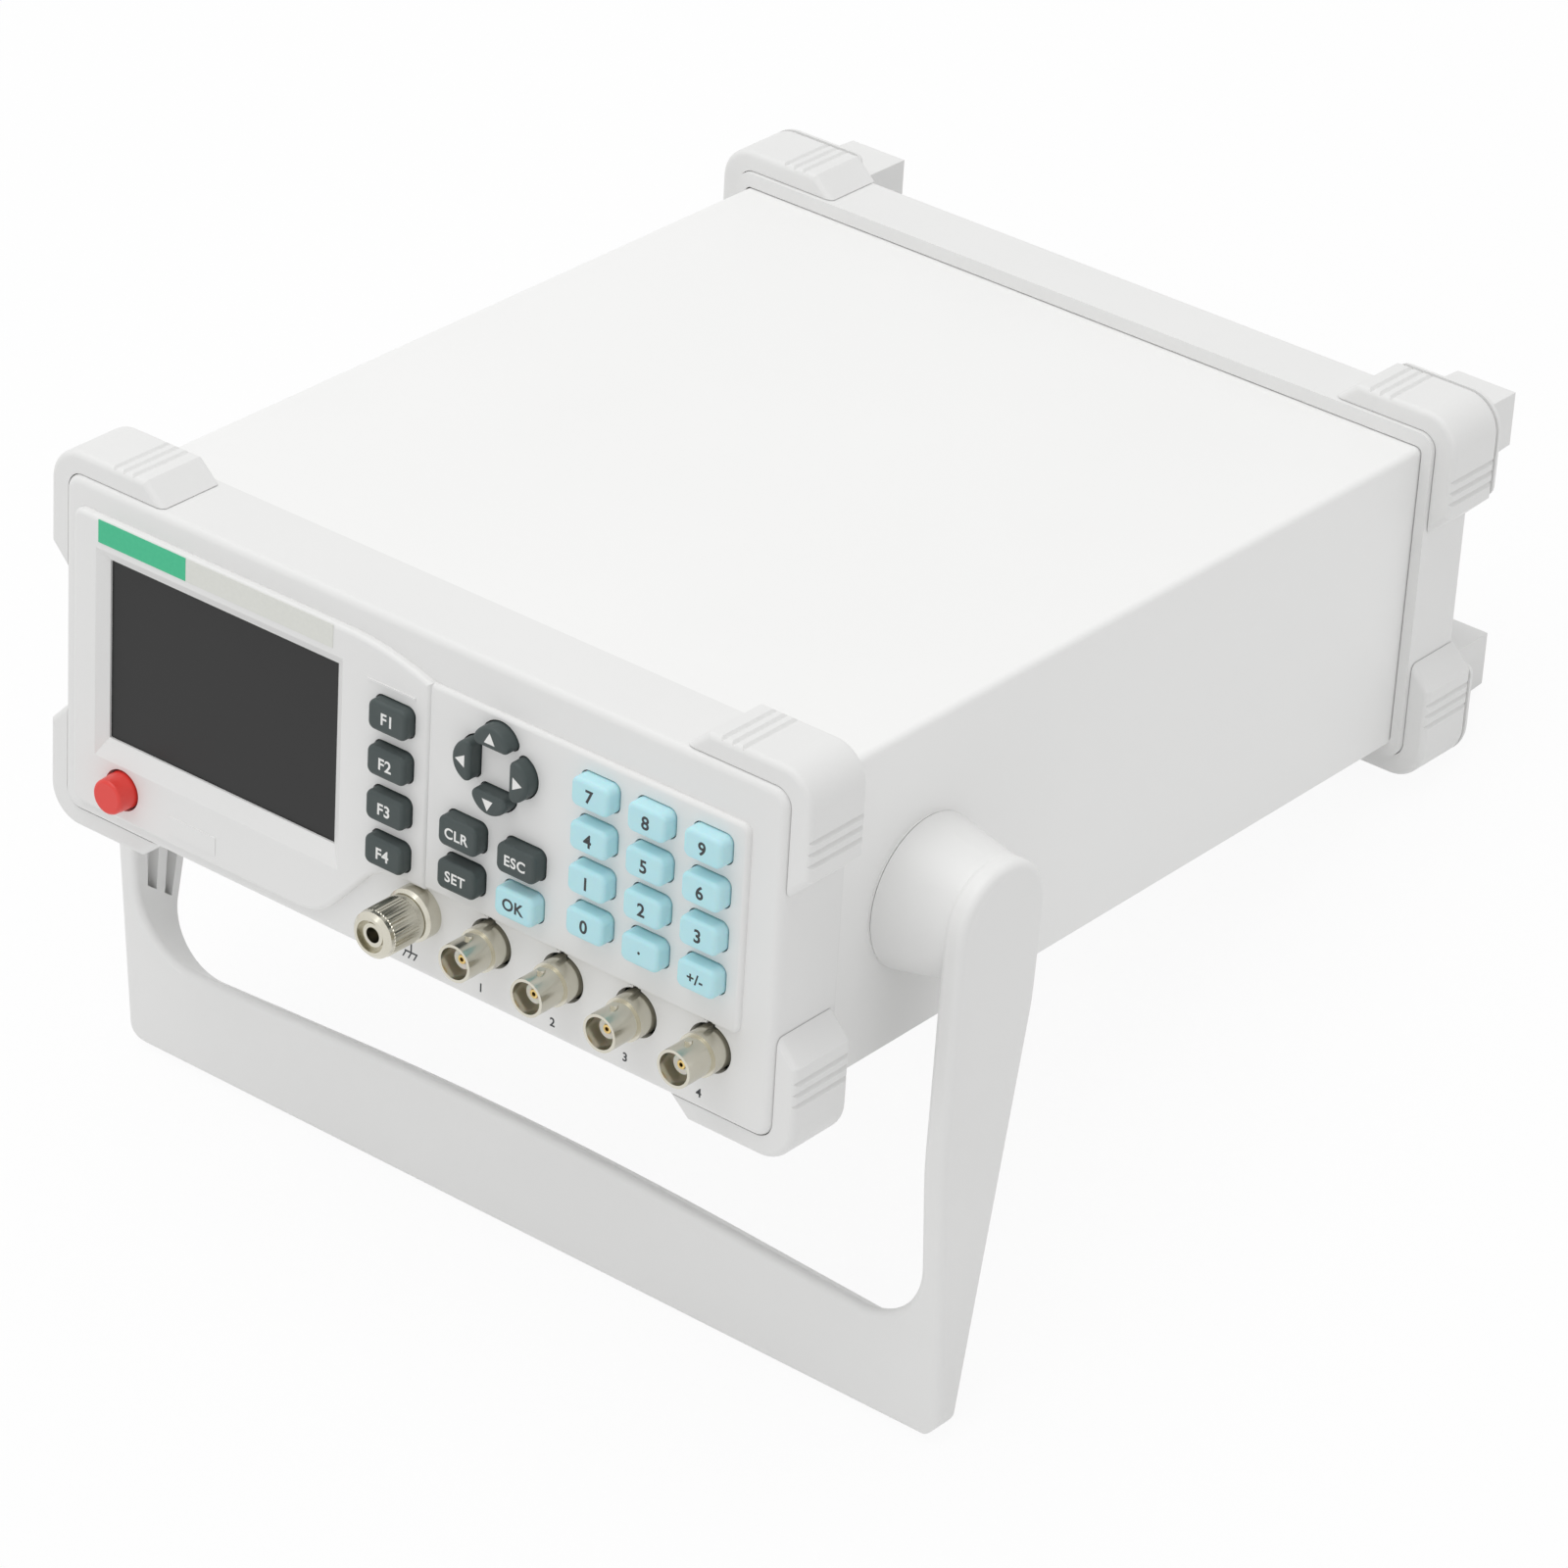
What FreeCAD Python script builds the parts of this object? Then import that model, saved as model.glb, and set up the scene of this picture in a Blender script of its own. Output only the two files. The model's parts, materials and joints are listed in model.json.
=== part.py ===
import FreeCAD, Part
import math
import os

Vector = FreeCAD.Vector

# A bench component tester: a sheet-metal case between two moulded bezels, with a screen, keys,
# four coaxial jacks, a ground post and a carry handle that swings down to prop the front up.
# Sizes are in millimetres. The pieces are drawn on a level case: X runs to the right seen from
# the front, Y to the back, Z up. Y = 0 is the face of the key field, Z = 0 the lower bumpers.
# At the end the whole part is tilted, so that it stands on its handle and its rear bumpers.

# Front layout, chained from the left edge of the bezel to the right edge
WINDOW_MARGIN = 15.2
WINDOW_WIDTH = 73.1
SOFT_GAP = 19.54
FUNCTION_GAP = 22.43
FUNCTION_PITCH_X = 17.78
PAD_GAP = 21.07
PAD_PITCH_X = 16.5
PAD_MARGIN = 19.28

# Front layout, chained from the lower edge of the bezel to the upper edge
JACK_MARGIN = 17.44
PAD_LIFT = 19.74
PAD_PITCH_Z = 11.24
PAD_HEADROOM = 19.5

# Front layout, heights from the middle of the case and insets from its edges
WINDOW_HEIGHT = 48.1
WINDOW_RISE = 3.15
SOFT_PITCH = 11.87
SOFT_RISE = 3.75
FUNCTION_PITCH_Z = 11.4
FUNCTION_DROP = 5.8
ARROW_RISE = 20.4
JACK_PITCH = 22.0
JACK_INSET = 18.03
POWER_INSET = 21.3
POWER_DROP = 32.3

# Raised fields of the front
KEY_FIELD_RISE = 1.3
KEY_FIELD_BORDER = 9.4
KEY_FIELD_TOP = 33.7
KEY_FIELD_BASE = 20.7
DISPLAY_FIELD_RISE = 0.8
DISPLAY_BORDER = 4.7
DISPLAY_TOP = 38.3
DISPLAY_BASE = 41.0
STEP_GAP = 10.16
CREST_BACK = 14.8
CREST_RADIUS = 80.0
SWEEP_HIGH = 4.1
SWEEP_LOW = 22.6
SWEEP_RADIUS = 14.0
FIELD_CORNER = 2.5
FIELD_ROUND = 1.2

# Window of the screen
WINDOW_BEVEL = 3.0
WINDOW_BEVEL_BASE = 5.0
WINDOW_BEVEL_DEPTH = 2.0
WINDOW_LIP = 0.6
GLASS_MARGIN = 2.0
GLASS_THICK = 1.8
GLASS_GAP = 0.1

# Bezels and sheet cover
BEZEL_WALL_SIDE = 3.0
BEZEL_WALL_TOP = 3.8
BEZEL_CORNER = 4.5
BEZEL_ROUND = 2.0
BEZEL_DEPTH = 22.0
PANEL_THICK = 3.0
COVER_GAP = 0.3
COVER_WALL = 1.2
COVER_BEND = 1.8
COVER_INSET = 8.0
COVER_SPAN = 227.7
TRAY_FLANGE = 14.0
TRAY_GAP = 0.15
REAR_BEZEL_DEPTH = 20.0
REAR_LIP = 10.0
REAR_LIP_SIDE = 11.0
REAR_LIP_TOP = 9.0
REAR_PANEL_THICK = 2.0
VENT_COUNT = 9
VENT_WIDTH = 2.5
VENT_HEIGHT = 30.0
VENT_PITCH = 6.0
VENT_X = 14.0

# Corner bumpers and rear standing feet
BUMPER_RISE = 5.5
BUMPER_SIDE = 6.0
BUMPER_SETBACK = 1.2
BUMPER_DEPTH = 19.9
BUMPER_CORNER = 9.5
BUMPER_ROUND = 1.6
BUMPER_GAP = 0.2
TOP_LEG = 30.6
SIDE_LEG = 27.0
LEG_SLOPE = 6.0
GROOVE_COUNT = 3
GROOVE_PITCH = 3.0
GROOVE_DEPTH = 0.8
GROOVE_START = 4.0
FOOT_PLATE = 2.5
FOOT_LENGTH = 20.7
FOOT_INSET = 3.7
FOOT_WIDTH = 19.0
FOOT_HEIGHT = 16.0
FOOT_DROP = 3.2
FOOT_TAPER = 1.5
FOOT_MARGIN = 2.2
FOOT_ROUND = 2.0

# Keys
PAD_KEY_WIDTH = 11.2
PAD_KEY_HEIGHT = 7.5
DARK_KEY_WIDTH = 11.8
DARK_KEY_HEIGHT = 7.8
KEY_CORNER = 2.0
KEY_ROUND = 1.1
KEY_STAND = 4.0
KEY_CLEAR = 0.35
KEY_FLANGE = 0.7
KEY_FLANGE_THICK = 1.0
KEY_SEAT = 0.2
KEY_STEM = 0.4
KEY_STEM_RADIUS = 1.8
KEY_TRAVEL = 1.0
ARROW_RING = 5.8
ARROW_RADIUS = 5.6
ARROW_TIP = 1.6
SWITCH_SLACK = 0.2
SWITCH_BUTTON = 0.8
SWITCH_BUTTON_RADIUS = 1.7
SWITCH_BODY = 2.7
SWITCH_SIDE = 6.0

# Front board
BOARD_THICK = 1.6
BOARD_EDGE = 3.0
BOARD_GAP = 1.0
BOARD_DROP = 15.5
BOARD_TAB = 46.0
BOSS_RADIUS = 2.6
BOSS_INSET = 4.2
BOSS_TOP_INSET = 4.4
SCREW_RADIUS = 1.25
SCREW_CLEAR = 0.1
SCREW_HEAD_RADIUS = 2.6
SCREW_HEAD = 1.8
SCREW_REACH = 5.0

# Power button and switch
POWER_STAND = 6.2
POWER_BASE_RADIUS = 5.1
POWER_FACE_RADIUS = 4.5
POWER_ROUND = 0.9
POWER_CLEAR = 0.35
POWER_FLANGE = 1.2
POWER_FLANGE_THICK = 1.2
POWER_STEM_RADIUS = 2.0
POWER_STEM_ENTRY = 2.0
POWER_TRAVEL = 3.0
POWER_GUIDE = 0.25
POWER_SWITCH_SIDE = 12.0
POWER_SWITCH_DEPTH = 16.0

# Coaxial jacks on the terminal plate
JACK_COUNT = 4
JACK_STAND = 11.5
JACK_BARREL_RADIUS = 4.8
JACK_BARREL = 8.3
JACK_COLLAR_RADIUS = 5.5
JACK_BORE_RADIUS = 4.05
JACK_BORE_DEPTH = 8.0
JACK_HOLE_RADIUS = 6.3
JACK_NOTCH_WIDTH = 2.4
JACK_NOTCH_HEIGHT = 1.5
JACK_SHOULDER_RADIUS = 7.0
JACK_SHOULDER = 2.0
JACK_THREAD_RADIUS = 4.7
JACK_TAIL = 6.0
LUG_RADIUS = 1.0
LUG_REACH = 0.85
LUG_SETBACK = 5.0
INSULATOR_NOSE_RADIUS = 2.5
INSULATOR_SETBACK = 3.0
INSULATOR_BASE = 2.0
CONTACT_RADIUS = 1.1
CONTACT_BORE = 0.55
CONTACT_BORE_DEPTH = 4.0
CONTACT_PROUD = 0.3
PLATE_SETBACK = 4.7
PLATE_THICK = 1.5
PLATE_BORDER = 10.0
FIT_GAP = 0.1
NUT_FLATS = 14.0
NUT_THICK = 2.5

# Ground post
POST_COLLAR_RADIUS = 6.75
POST_COLLAR = 4.5
POST_COLLAR_ROUND = 0.8
POST_NECK_RADIUS = 4.0
POST_ROD_RADIUS = 3.0
POST_SOCKET_RADIUS = 2.0
POST_SOCKET_DEPTH = 9.0
POST_TAIL_RADIUS = 2.5
POST_TAIL = 7.0
POST_NUT_FLATS = 8.0
POST_SEAM_TURN = 22.5
WASHER_RADIUS = 5.6
WASHER_THICK = 0.6
WASHER_GAP = 0.1
KNOB_RADIUS = 5.9
KNOB_LENGTH = 12.0
KNOB_RIM = 1.0
KNOB_MOUTH_RADIUS = 4.1
KNOB_MOUTH = 2.0
RUNNING_GAP = 0.06

# Carry handle and its hubs
HUB_BACK = 34.2
HUB_DROP = 3.5
HUB_LENGTH = 18.6
HUB_RADIUS = 19.5
HUB_TAPER = 3.7
HUB_CORE_RADIUS = 11.0
HUB_CORE_END = 2.0
HUB_RUNNING_GAP = 0.05
HUB_WASHER_THICK = 0.5
HUB_SIDE_GAP = 0.2
HUB_BOLT_RADIUS = 2.5
HUB_BOLT_HEAD_RADIUS = 4.5
HUB_BOLT_HEAD = 3.0
HUB_BOLT_REACH = 9.0
ARM_THICK = 6.0
ARM_ROUND = 2.2
ARM_TOP = 16.0
ARM_TOP_ROUND = 15.0
ARM_REAR_KNEE = (14.0, -25.0, 60.0)
ARM_FRONT_KNEE = (-17.3, -60.0, 100.0)
HANDLE_DROP = 137.3
BAR_SETBACK = 7.8
BAR_THICK = 6.0
BAR_ROUND = 2.8
BAR_HEIGHT = 26.3
BAR_ARCH = 3.4
BAR_CORNER = 9.0
GRIP_SLOPE = 0.75
GRIP_ROUND = 1.6
GUSSET_RADIUS = 18.0
CHANNEL_DEPTH = 3.2
CHANNEL_TOP = 24.0
CHANNEL_END = 108.0
CHANNEL_WALL = 3.6
CHANNEL_RIB = 1.6

# Boards and transformer inside the case
STANDOFF_RADIUS = 3.0
STANDOFF_HEIGHT = 7.0
MAIN_BOARD_WIDTH = 180.0
MAIN_BOARD_LENGTH = 95.0
MAIN_BOARD_BACK = 14.0
POWER_BOARD_WIDTH = 110.0
POWER_BOARD_LENGTH = 60.0
POWER_BOARD_X = -40.0
REAR_CLEAR = 26.0
BOARD_HOLE_INSET = 5.0
CHIP_HEIGHT = 2.4
CHIP_SHARES = ((0.22, 0.3, 0.1), (0.5, 0.35, 0.14), (0.75, 0.6, 0.08), (0.35, 0.7, 0.12))
CAPACITOR_COUNT = 3
CAPACITOR_RADIUS = 8.0
CAPACITOR_HEIGHT = 25.0
CORE_WIDTH = 54.0
CORE_LENGTH = 28.0
CORE_HEIGHT = 46.0
COIL_SWELL = 9.0
COIL_ROUND = 3.0
COIL_DROP = 7.0
CORE_X = 62.0

# Mains inlet, fuse drawer, serial port and case screws on the rear panel
INLET_X = -62.0
INLET_RISE = 1.0
INLET_WIDTH = 30.0
INLET_HEIGHT = 36.0
INLET_EAR = 10.0
INLET_FLANGE = 3.0
INLET_BODY = 19.0
INLET_CORNER = 3.0
SOCKET_WIDTH = 24.5
SOCKET_HEIGHT = 16.8
SOCKET_DEPTH = 16.5
SOCKET_CHAMFER = 4.5
SOCKET_RISE = 7.0
PIN_WIDTH = 2.0
PIN_HEIGHT = 4.2
PIN_LENGTH = 13.0
PIN_ROOT = 2.0
PIN_PITCH = 14.0
PIN_STEP = 3.8
DRAWER_WIDTH = 24.0
DRAWER_HEIGHT = 9.0
DRAWER_DEPTH = 17.0
DRAWER_FACE = 1.4
DRAWER_DROP = 11.0
DRAWER_GAP = 0.25
DRAWER_LIP = 1.0
DRAWER_WALL = 1.5
FUSE_RADIUS = 2.5
FUSE_LENGTH = 20.0
PORT_X = 66.0
PORT_RISE = 4.0
PORT_WIDTH = 30.8
PORT_HEIGHT = 12.5
PORT_FLANGE = 1.0
PORT_SHELL_WIDTH = 16.9
PORT_SHELL_HEIGHT = 8.3
PORT_SHELL = 5.8
PORT_BODY = 8.0
PORT_CORNER = 2.2
PORT_POST_PITCH = 25.0
PORT_POST_FLATS = 4.8
PORT_POST = 5.0
CASE_SCREW_X = 60.0
CASE_SCREW_RADIUS = 1.5
CASE_HEAD_RADIUS = 2.8
CASE_HEAD = 2.0

# Places worked out from the sizes above
KEY_ROWS = (("7", "8", "9"), ("4", "5", "6"), ("1", "2", "3"), ("0", "dot", "sign"))
SOFT_KEYS = 4
PAD_COLUMNS = len(KEY_ROWS[0]) - 1
PAD_STEPS = len(KEY_ROWS) - 1
BEZEL_WIDTH = (WINDOW_MARGIN + WINDOW_WIDTH + SOFT_GAP + FUNCTION_GAP + FUNCTION_PITCH_X
               + PAD_GAP + PAD_COLUMNS * PAD_PITCH_X + PAD_MARGIN)
BEZEL_HEIGHT = JACK_MARGIN + PAD_LIFT + PAD_STEPS * PAD_PITCH_Z + PAD_HEADROOM
COVER_WIDTH = BEZEL_WIDTH - 2 * (BEZEL_WALL_SIDE + COVER_GAP)
COVER_HEIGHT = BEZEL_HEIGHT - 2 * (BEZEL_WALL_TOP + COVER_GAP)
MID_Z = BEZEL_HEIGHT / 2 + BUMPER_RISE
BEZEL_LEFT = -BEZEL_WIDTH / 2
BEZEL_RIGHT = BEZEL_WIDTH / 2
BEZEL_BASE = MID_Z - BEZEL_HEIGHT / 2
BEZEL_TOP = MID_Z + BEZEL_HEIGHT / 2
COVER_BASE = MID_Z - COVER_HEIGHT / 2
COVER_TOP = MID_Z + COVER_HEIGHT / 2
COVER_SIDE = COVER_WIDTH / 2
WINDOW_X = BEZEL_LEFT + WINDOW_MARGIN + WINDOW_WIDTH / 2
WINDOW_Z = MID_Z + WINDOW_RISE
SOFT_X = BEZEL_LEFT + WINDOW_MARGIN + WINDOW_WIDTH + SOFT_GAP
FUNCTION_X = SOFT_X + FUNCTION_GAP
PAD_X = FUNCTION_X + FUNCTION_PITCH_X + PAD_GAP
ARROW_X = FUNCTION_X + FUNCTION_PITCH_X / 2
ARROW_Z = MID_Z + ARROW_RISE
POWER_X = BEZEL_LEFT + POWER_INSET
POWER_Z = MID_Z - POWER_DROP
JACK_Z = BEZEL_BASE + JACK_MARGIN
JACK_XS = [BEZEL_RIGHT - JACK_INSET - (JACK_COUNT - 1 - i) * JACK_PITCH for i in range(JACK_COUNT)]
POST_X = JACK_XS[0] - JACK_PITCH
PAD_BASE_Z = JACK_Z + PAD_LIFT

BEZEL_FRONT = KEY_FIELD_RISE
PANEL_BACK = BEZEL_FRONT + PANEL_THICK
FRONT_BEZEL_BACK = BEZEL_FRONT + BEZEL_DEPTH
REAR_BEZEL_FRONT = FRONT_BEZEL_BACK + COVER_SPAN
REAR_BEZEL_BACK = REAR_BEZEL_FRONT + REAR_BEZEL_DEPTH
LIP_FRONT = REAR_BEZEL_BACK - REAR_LIP
COVER_FRONT_Y = FRONT_BEZEL_BACK - COVER_INSET
COVER_REAR_Y = LIP_FRONT - COVER_GAP
GLASS_FRONT = WINDOW_BEVEL_DEPTH - DISPLAY_FIELD_RISE + WINDOW_LIP
GLASS_BACK = GLASS_FRONT + GLASS_THICK
KEY_FLANGE_FRONT = PANEL_BACK + KEY_SEAT
KEY_STEM_END = KEY_FLANGE_FRONT + KEY_FLANGE_THICK + KEY_STEM
SWITCH_FRONT = KEY_STEM_END + KEY_TRAVEL + SWITCH_SLACK
BOARD_FRONT = SWITCH_FRONT + SWITCH_BUTTON + SWITCH_BODY
BOARD_BACK = BOARD_FRONT + BOARD_THICK
POWER_SWITCH_FRONT = PANEL_BACK + KEY_SEAT + POWER_FLANGE_THICK + POWER_TRAVEL + SWITCH_SLACK
PLATE_FRONT = PANEL_BACK + PLATE_SETBACK
PLATE_BACK = PLATE_FRONT + PLATE_THICK
TRAY_FLOOR = COVER_BASE + COVER_WALL
HUB_Y = FRONT_BEZEL_BACK + HUB_BACK
HUB_Z = MID_Z - HUB_DROP
ARM_INNER = COVER_SIDE + HUB_LENGTH
ARM_OUTER = ARM_INNER + ARM_THICK
BAR_BASE = HUB_Z - HANDLE_DROP
GRIP_Y = HUB_Y - BAR_SETBACK
KNOB_BACK = BEZEL_FRONT - POST_COLLAR - WASHER_THICK - 2 * WASHER_GAP
KNOB_FRONT = KNOB_BACK - KNOB_LENGTH
INLET_Z = MID_Z + INLET_RISE
SOCKET_Z = INLET_Z + SOCKET_RISE
DRAWER_Z = INLET_Z - DRAWER_DROP
PORT_Z = MID_Z + PORT_RISE
REAR_BUMPER_FRONT = REAR_BEZEL_BACK - BUMPER_DEPTH + BUMPER_SETBACK

SAME = 0.01
PAST = 1.0
TILT_STEP = 0.00001


def xz(u, v):
    return Vector(u, 0, v)


def yz(u, v):
    return Vector(0, u, v)


def rounded_wire(corners, plane):
    """Closed wire through (u, v, radius) corners, each rounded by a tangent arc of its radius."""
    entries = []
    exits = []
    arcs = []
    for i, (u, v, radius) in enumerate(corners):
        corner = Vector(u, v, 0)
        back = Vector(*corners[i - 1][:2], 0) - corner
        ahead = Vector(*corners[(i + 1) % len(corners)][:2], 0) - corner
        back.normalize()
        ahead.normalize()
        half = back.getAngle(ahead) / 2
        entry = corner + back * (radius / math.tan(half))
        leave = corner + ahead * (radius / math.tan(half))
        inward = back + ahead
        inward.normalize()
        middle = corner + inward * (radius / math.sin(half) - radius)
        entries.append(plane(entry.x, entry.y))
        exits.append(plane(leave.x, leave.y))
        arcs.append(plane(middle.x, middle.y) if radius else None)
    edges = []
    for i, arc in enumerate(arcs):
        edges.append(Part.makeLine(exits[i - 1], entries[i]))
        if arc:
            edges.append(Part.Arc(entries[i], arc, exits[i]).toShape())
    return Part.Wire(edges)


def prism(corners, y0, y1):
    """Outline in X and Z, carried from y0 to y1."""
    face = Part.Face(rounded_wire(corners, xz))
    face.translate(Vector(0, y0, 0))
    return face.extrude(Vector(0, y1 - y0, 0))


def rectangle(x, z, width, height, corner=0.0):
    w = width / 2
    h = height / 2
    return [(x - w, z - h, corner), (x + w, z - h, corner), (x + w, z + h, corner), (x - w, z + h, corner)]


def slab(x, z, width, height, y0, y1, corner=0.0):
    return prism(rectangle(x, z, width, height, corner), y0, y1)


def disc(x, z, radius, y0, y1):
    return Part.makeCylinder(radius, y1 - y0, Vector(x, y0, z), Vector(0, 1, 0))


def block(x0, x1, y0, y1, z0, z1):
    return Part.makeBox(x1 - x0, y1 - y0, z1 - z0, Vector(x0, y0, z0))


def hexagon(x, z, flats, y0, y1):
    radius = flats / math.sqrt(3)
    turns = [math.radians(60 * i) for i in range(6)]
    return prism([(x + radius * math.cos(t), z + radius * math.sin(t), 0.0) for t in turns], y0, y1)


def spun(x, z, profile):
    """Solid of revolution about the Y line through x and z, from (y, radius) points."""
    points = [Vector(x, y, z + r) for y, r in profile]
    ends = [Vector(x, profile[-1][0], z), Vector(x, profile[0][0], z)]
    wire = Part.makePolygon(points + ends + points[:1])
    return Part.Face(wire).revolve(Vector(x, 0, z), Vector(0, 1, 0), 360)


def tapered(x, z, near, far, y0, y1):
    """Straight-sided block from one rectangle (width, height) at y0 to another at y1."""
    rims = []
    for (width, height), y in ((near, y0), (far, y1)):
        rim = rounded_wire(rectangle(x, z, width, height), xz)
        rim.translate(Vector(0, y, 0))
        rims.append(rim)
    return Part.makeLoft(rims, True, True)


def at_y(y):
    return lambda box: abs(box.YMin - y) < SAME and abs(box.YMax - y) < SAME


def at_x(x):
    return lambda box: abs(box.XMin - x) < SAME and abs(box.XMax - x) < SAME


def edges_where(shape, pick):
    return [edge for edge in shape.Edges if pick(edge.BoundBox)]


def joined(pieces):
    return pieces[0].fuse(pieces[1:]).removeSplitter()


def mirrored_x(shape):
    return shape.mirror(Vector(0, 0, 0), Vector(1, 0, 0))


def mirrored_z(shape):
    return shape.mirror(Vector(0, 0, MID_Z), Vector(0, 0, 1))


# Keys and buttons


def key_places():
    """Name of each key with its kind and the x and z of its middle."""
    places = {}
    for i in range(SOFT_KEYS):
        rise = SOFT_RISE + ((SOFT_KEYS - 1) / 2 - i) * SOFT_PITCH
        places[f"key_f{i + 1}"] = ("dark", SOFT_X, MID_Z + rise)
    for name, column, side in (("clear", 0, 1), ("menu", 0, -1), ("back", 1, 1), ("enter", 1, -1)):
        x = FUNCTION_X + column * FUNCTION_PITCH_X
        places[f"key_{name}"] = ("dark", x, MID_Z - FUNCTION_DROP + side * FUNCTION_PITCH_Z / 2)
    for name in ("up", "left", "down", "right"):
        places[f"key_{name}"] = (name, ARROW_X, ARROW_Z)
    for row, names in enumerate(KEY_ROWS):
        for column, name in enumerate(names):
            z = PAD_BASE_Z + (PAD_STEPS - row) * PAD_PITCH_Z
            places[f"key_{name}"] = ("pad", PAD_X + column * PAD_PITCH_X, z)
    return places


ARROW_TURNS = {"up": 0, "left": 90, "down": 180, "right": 270}


def key_block(kind, x, z, grow, y0, y1):
    """Body of a key, or with grow the hole or flange round it, from y0 to y1."""
    if kind == "pad":
        return slab(x, z, PAD_KEY_WIDTH + 2 * grow, PAD_KEY_HEIGHT + 2 * grow, y0, y1, KEY_CORNER + grow)
    if kind == "dark":
        return slab(x, z, DARK_KEY_WIDTH + 2 * grow, DARK_KEY_HEIGHT + 2 * grow, y0, y1, KEY_CORNER + grow)
    radius = ARROW_RADIUS + grow
    flat = z + ARROW_RING - grow
    half = block(x - radius, x + radius, y0, y1, flat, flat + 2 * radius + grow)
    moon = disc(x, z + ARROW_RING, radius, y0, y1).common(half)
    tips = edges_where(moon, lambda box: box.ZMax < flat + SAME and box.YLength > SAME and box.XLength < SAME)
    moon = moon.makeFillet(ARROW_TIP + grow, tips)
    moon.rotate(Vector(x, 0, z), Vector(0, 1, 0), -ARROW_TURNS[kind])
    return moon


def stem_place(kind, x, z):
    """Where the stem and the switch of a key stand."""
    if kind in ("pad", "dark"):
        return x, z
    turn = math.radians(ARROW_TURNS[kind])
    reach = ARROW_RING + ARROW_RADIUS / 2
    return x - reach * math.sin(turn), z + reach * math.cos(turn)


def key(kind, x, z):
    cap = key_block(kind, x, z, 0, -KEY_STAND, KEY_FLANGE_FRONT)
    cap = cap.makeFillet(KEY_ROUND, edges_where(cap, at_y(-KEY_STAND)))
    flange_back = KEY_FLANGE_FRONT + KEY_FLANGE_THICK
    flange = key_block(kind, x, z, KEY_FLANGE, KEY_FLANGE_FRONT, flange_back)
    stem = disc(*stem_place(kind, x, z), KEY_STEM_RADIUS, flange_back, KEY_STEM_END)
    return joined([cap, flange, stem])


def tact_switches():
    switches = []
    body_front = BOARD_FRONT - SWITCH_BODY
    for kind, x, z in key_places().values():
        sx, sz = stem_place(kind, x, z)
        body = slab(sx, sz, SWITCH_SIDE, SWITCH_SIDE, body_front, BOARD_FRONT)
        switches.append(body.fuse(disc(sx, sz, SWITCH_BUTTON_RADIUS, SWITCH_FRONT, body_front)))
    return Part.makeCompound(switches)


def power_button():
    flange_front = PANEL_BACK + KEY_SEAT
    flange_back = flange_front + POWER_FLANGE_THICK
    stem_end = POWER_SWITCH_FRONT + POWER_STEM_ENTRY
    cap = spun(POWER_X, POWER_Z, [(-POWER_STAND, POWER_FACE_RADIUS), (flange_front, POWER_BASE_RADIUS)])
    cap = cap.makeFillet(POWER_ROUND, edges_where(cap, at_y(-POWER_STAND)))
    flange = disc(POWER_X, POWER_Z, POWER_BASE_RADIUS + POWER_FLANGE, flange_front, flange_back)
    stem = disc(POWER_X, POWER_Z, POWER_STEM_RADIUS, flange_back, stem_end)
    return joined([cap, flange, stem])


def power_switch():
    front = POWER_SWITCH_FRONT
    well_end = front + POWER_STEM_ENTRY + POWER_TRAVEL + PAST
    body = slab(POWER_X, POWER_Z, POWER_SWITCH_SIDE, POWER_SWITCH_SIDE, front, front + POWER_SWITCH_DEPTH)
    return body.cut(disc(POWER_X, POWER_Z, POWER_STEM_RADIUS + POWER_GUIDE, front, well_end))


# Front bezel, screen and front board


def boss_places():
    """Where the screws of the front board stand."""
    side = COVER_SIDE - BOSS_INSET
    top = COVER_TOP - BOSS_TOP_INSET
    inner = BEZEL_LEFT + WINDOW_MARGIN + WINDOW_WIDTH + SOFT_GAP / 2
    tab = BEZEL_LEFT + BOARD_TAB
    pad_gap = PAD_X - PAD_GAP / 2
    low = PAD_BASE_Z - BOSS_TOP_INSET
    return [(-side, top), (inner, top), (pad_gap, top), (side, top), (side, low), (tab, POWER_Z)]


def plate_screw_places():
    """Where the screws of the terminal plate stand, between the jacks."""
    xs = [POST_X + JACK_PITCH / 2, JACK_XS[-1] - JACK_PITCH / 2]
    return [(x, JACK_Z) for x in xs]


def display_field():
    right = SOFT_X + STEP_GAP
    low = MID_Z - DISPLAY_BASE
    key_low = MID_Z - KEY_FIELD_BASE
    corners = [
        (BEZEL_LEFT + DISPLAY_BORDER, low, FIELD_CORNER),
        (SOFT_X - SWEEP_LOW, low, SWEEP_RADIUS),
        (SOFT_X - SWEEP_HIGH, key_low, SWEEP_RADIUS),
        (right, key_low, 0.0),
        (right, MID_Z + KEY_FIELD_TOP, 0.0),
        (right - CREST_BACK, MID_Z + DISPLAY_TOP, CREST_RADIUS),
        (BEZEL_LEFT + DISPLAY_BORDER, MID_Z + DISPLAY_TOP, FIELD_CORNER),
    ]
    field = prism(corners, -DISPLAY_FIELD_RISE, BEZEL_FRONT)
    return field.makeFillet(FIELD_ROUND, edges_where(field, at_y(-DISPLAY_FIELD_RISE)))


def key_field():
    left = SOFT_X + STEP_GAP / 2
    right = BEZEL_RIGHT - KEY_FIELD_BORDER
    low = MID_Z - KEY_FIELD_BASE
    high = MID_Z + KEY_FIELD_TOP
    middle = ((left + right) / 2, (low + high) / 2)
    field = slab(*middle, right - left, high - low, 0, BEZEL_FRONT, FIELD_CORNER)
    return field.makeFillet(FIELD_ROUND, edges_where(field, at_y(0)))


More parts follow.
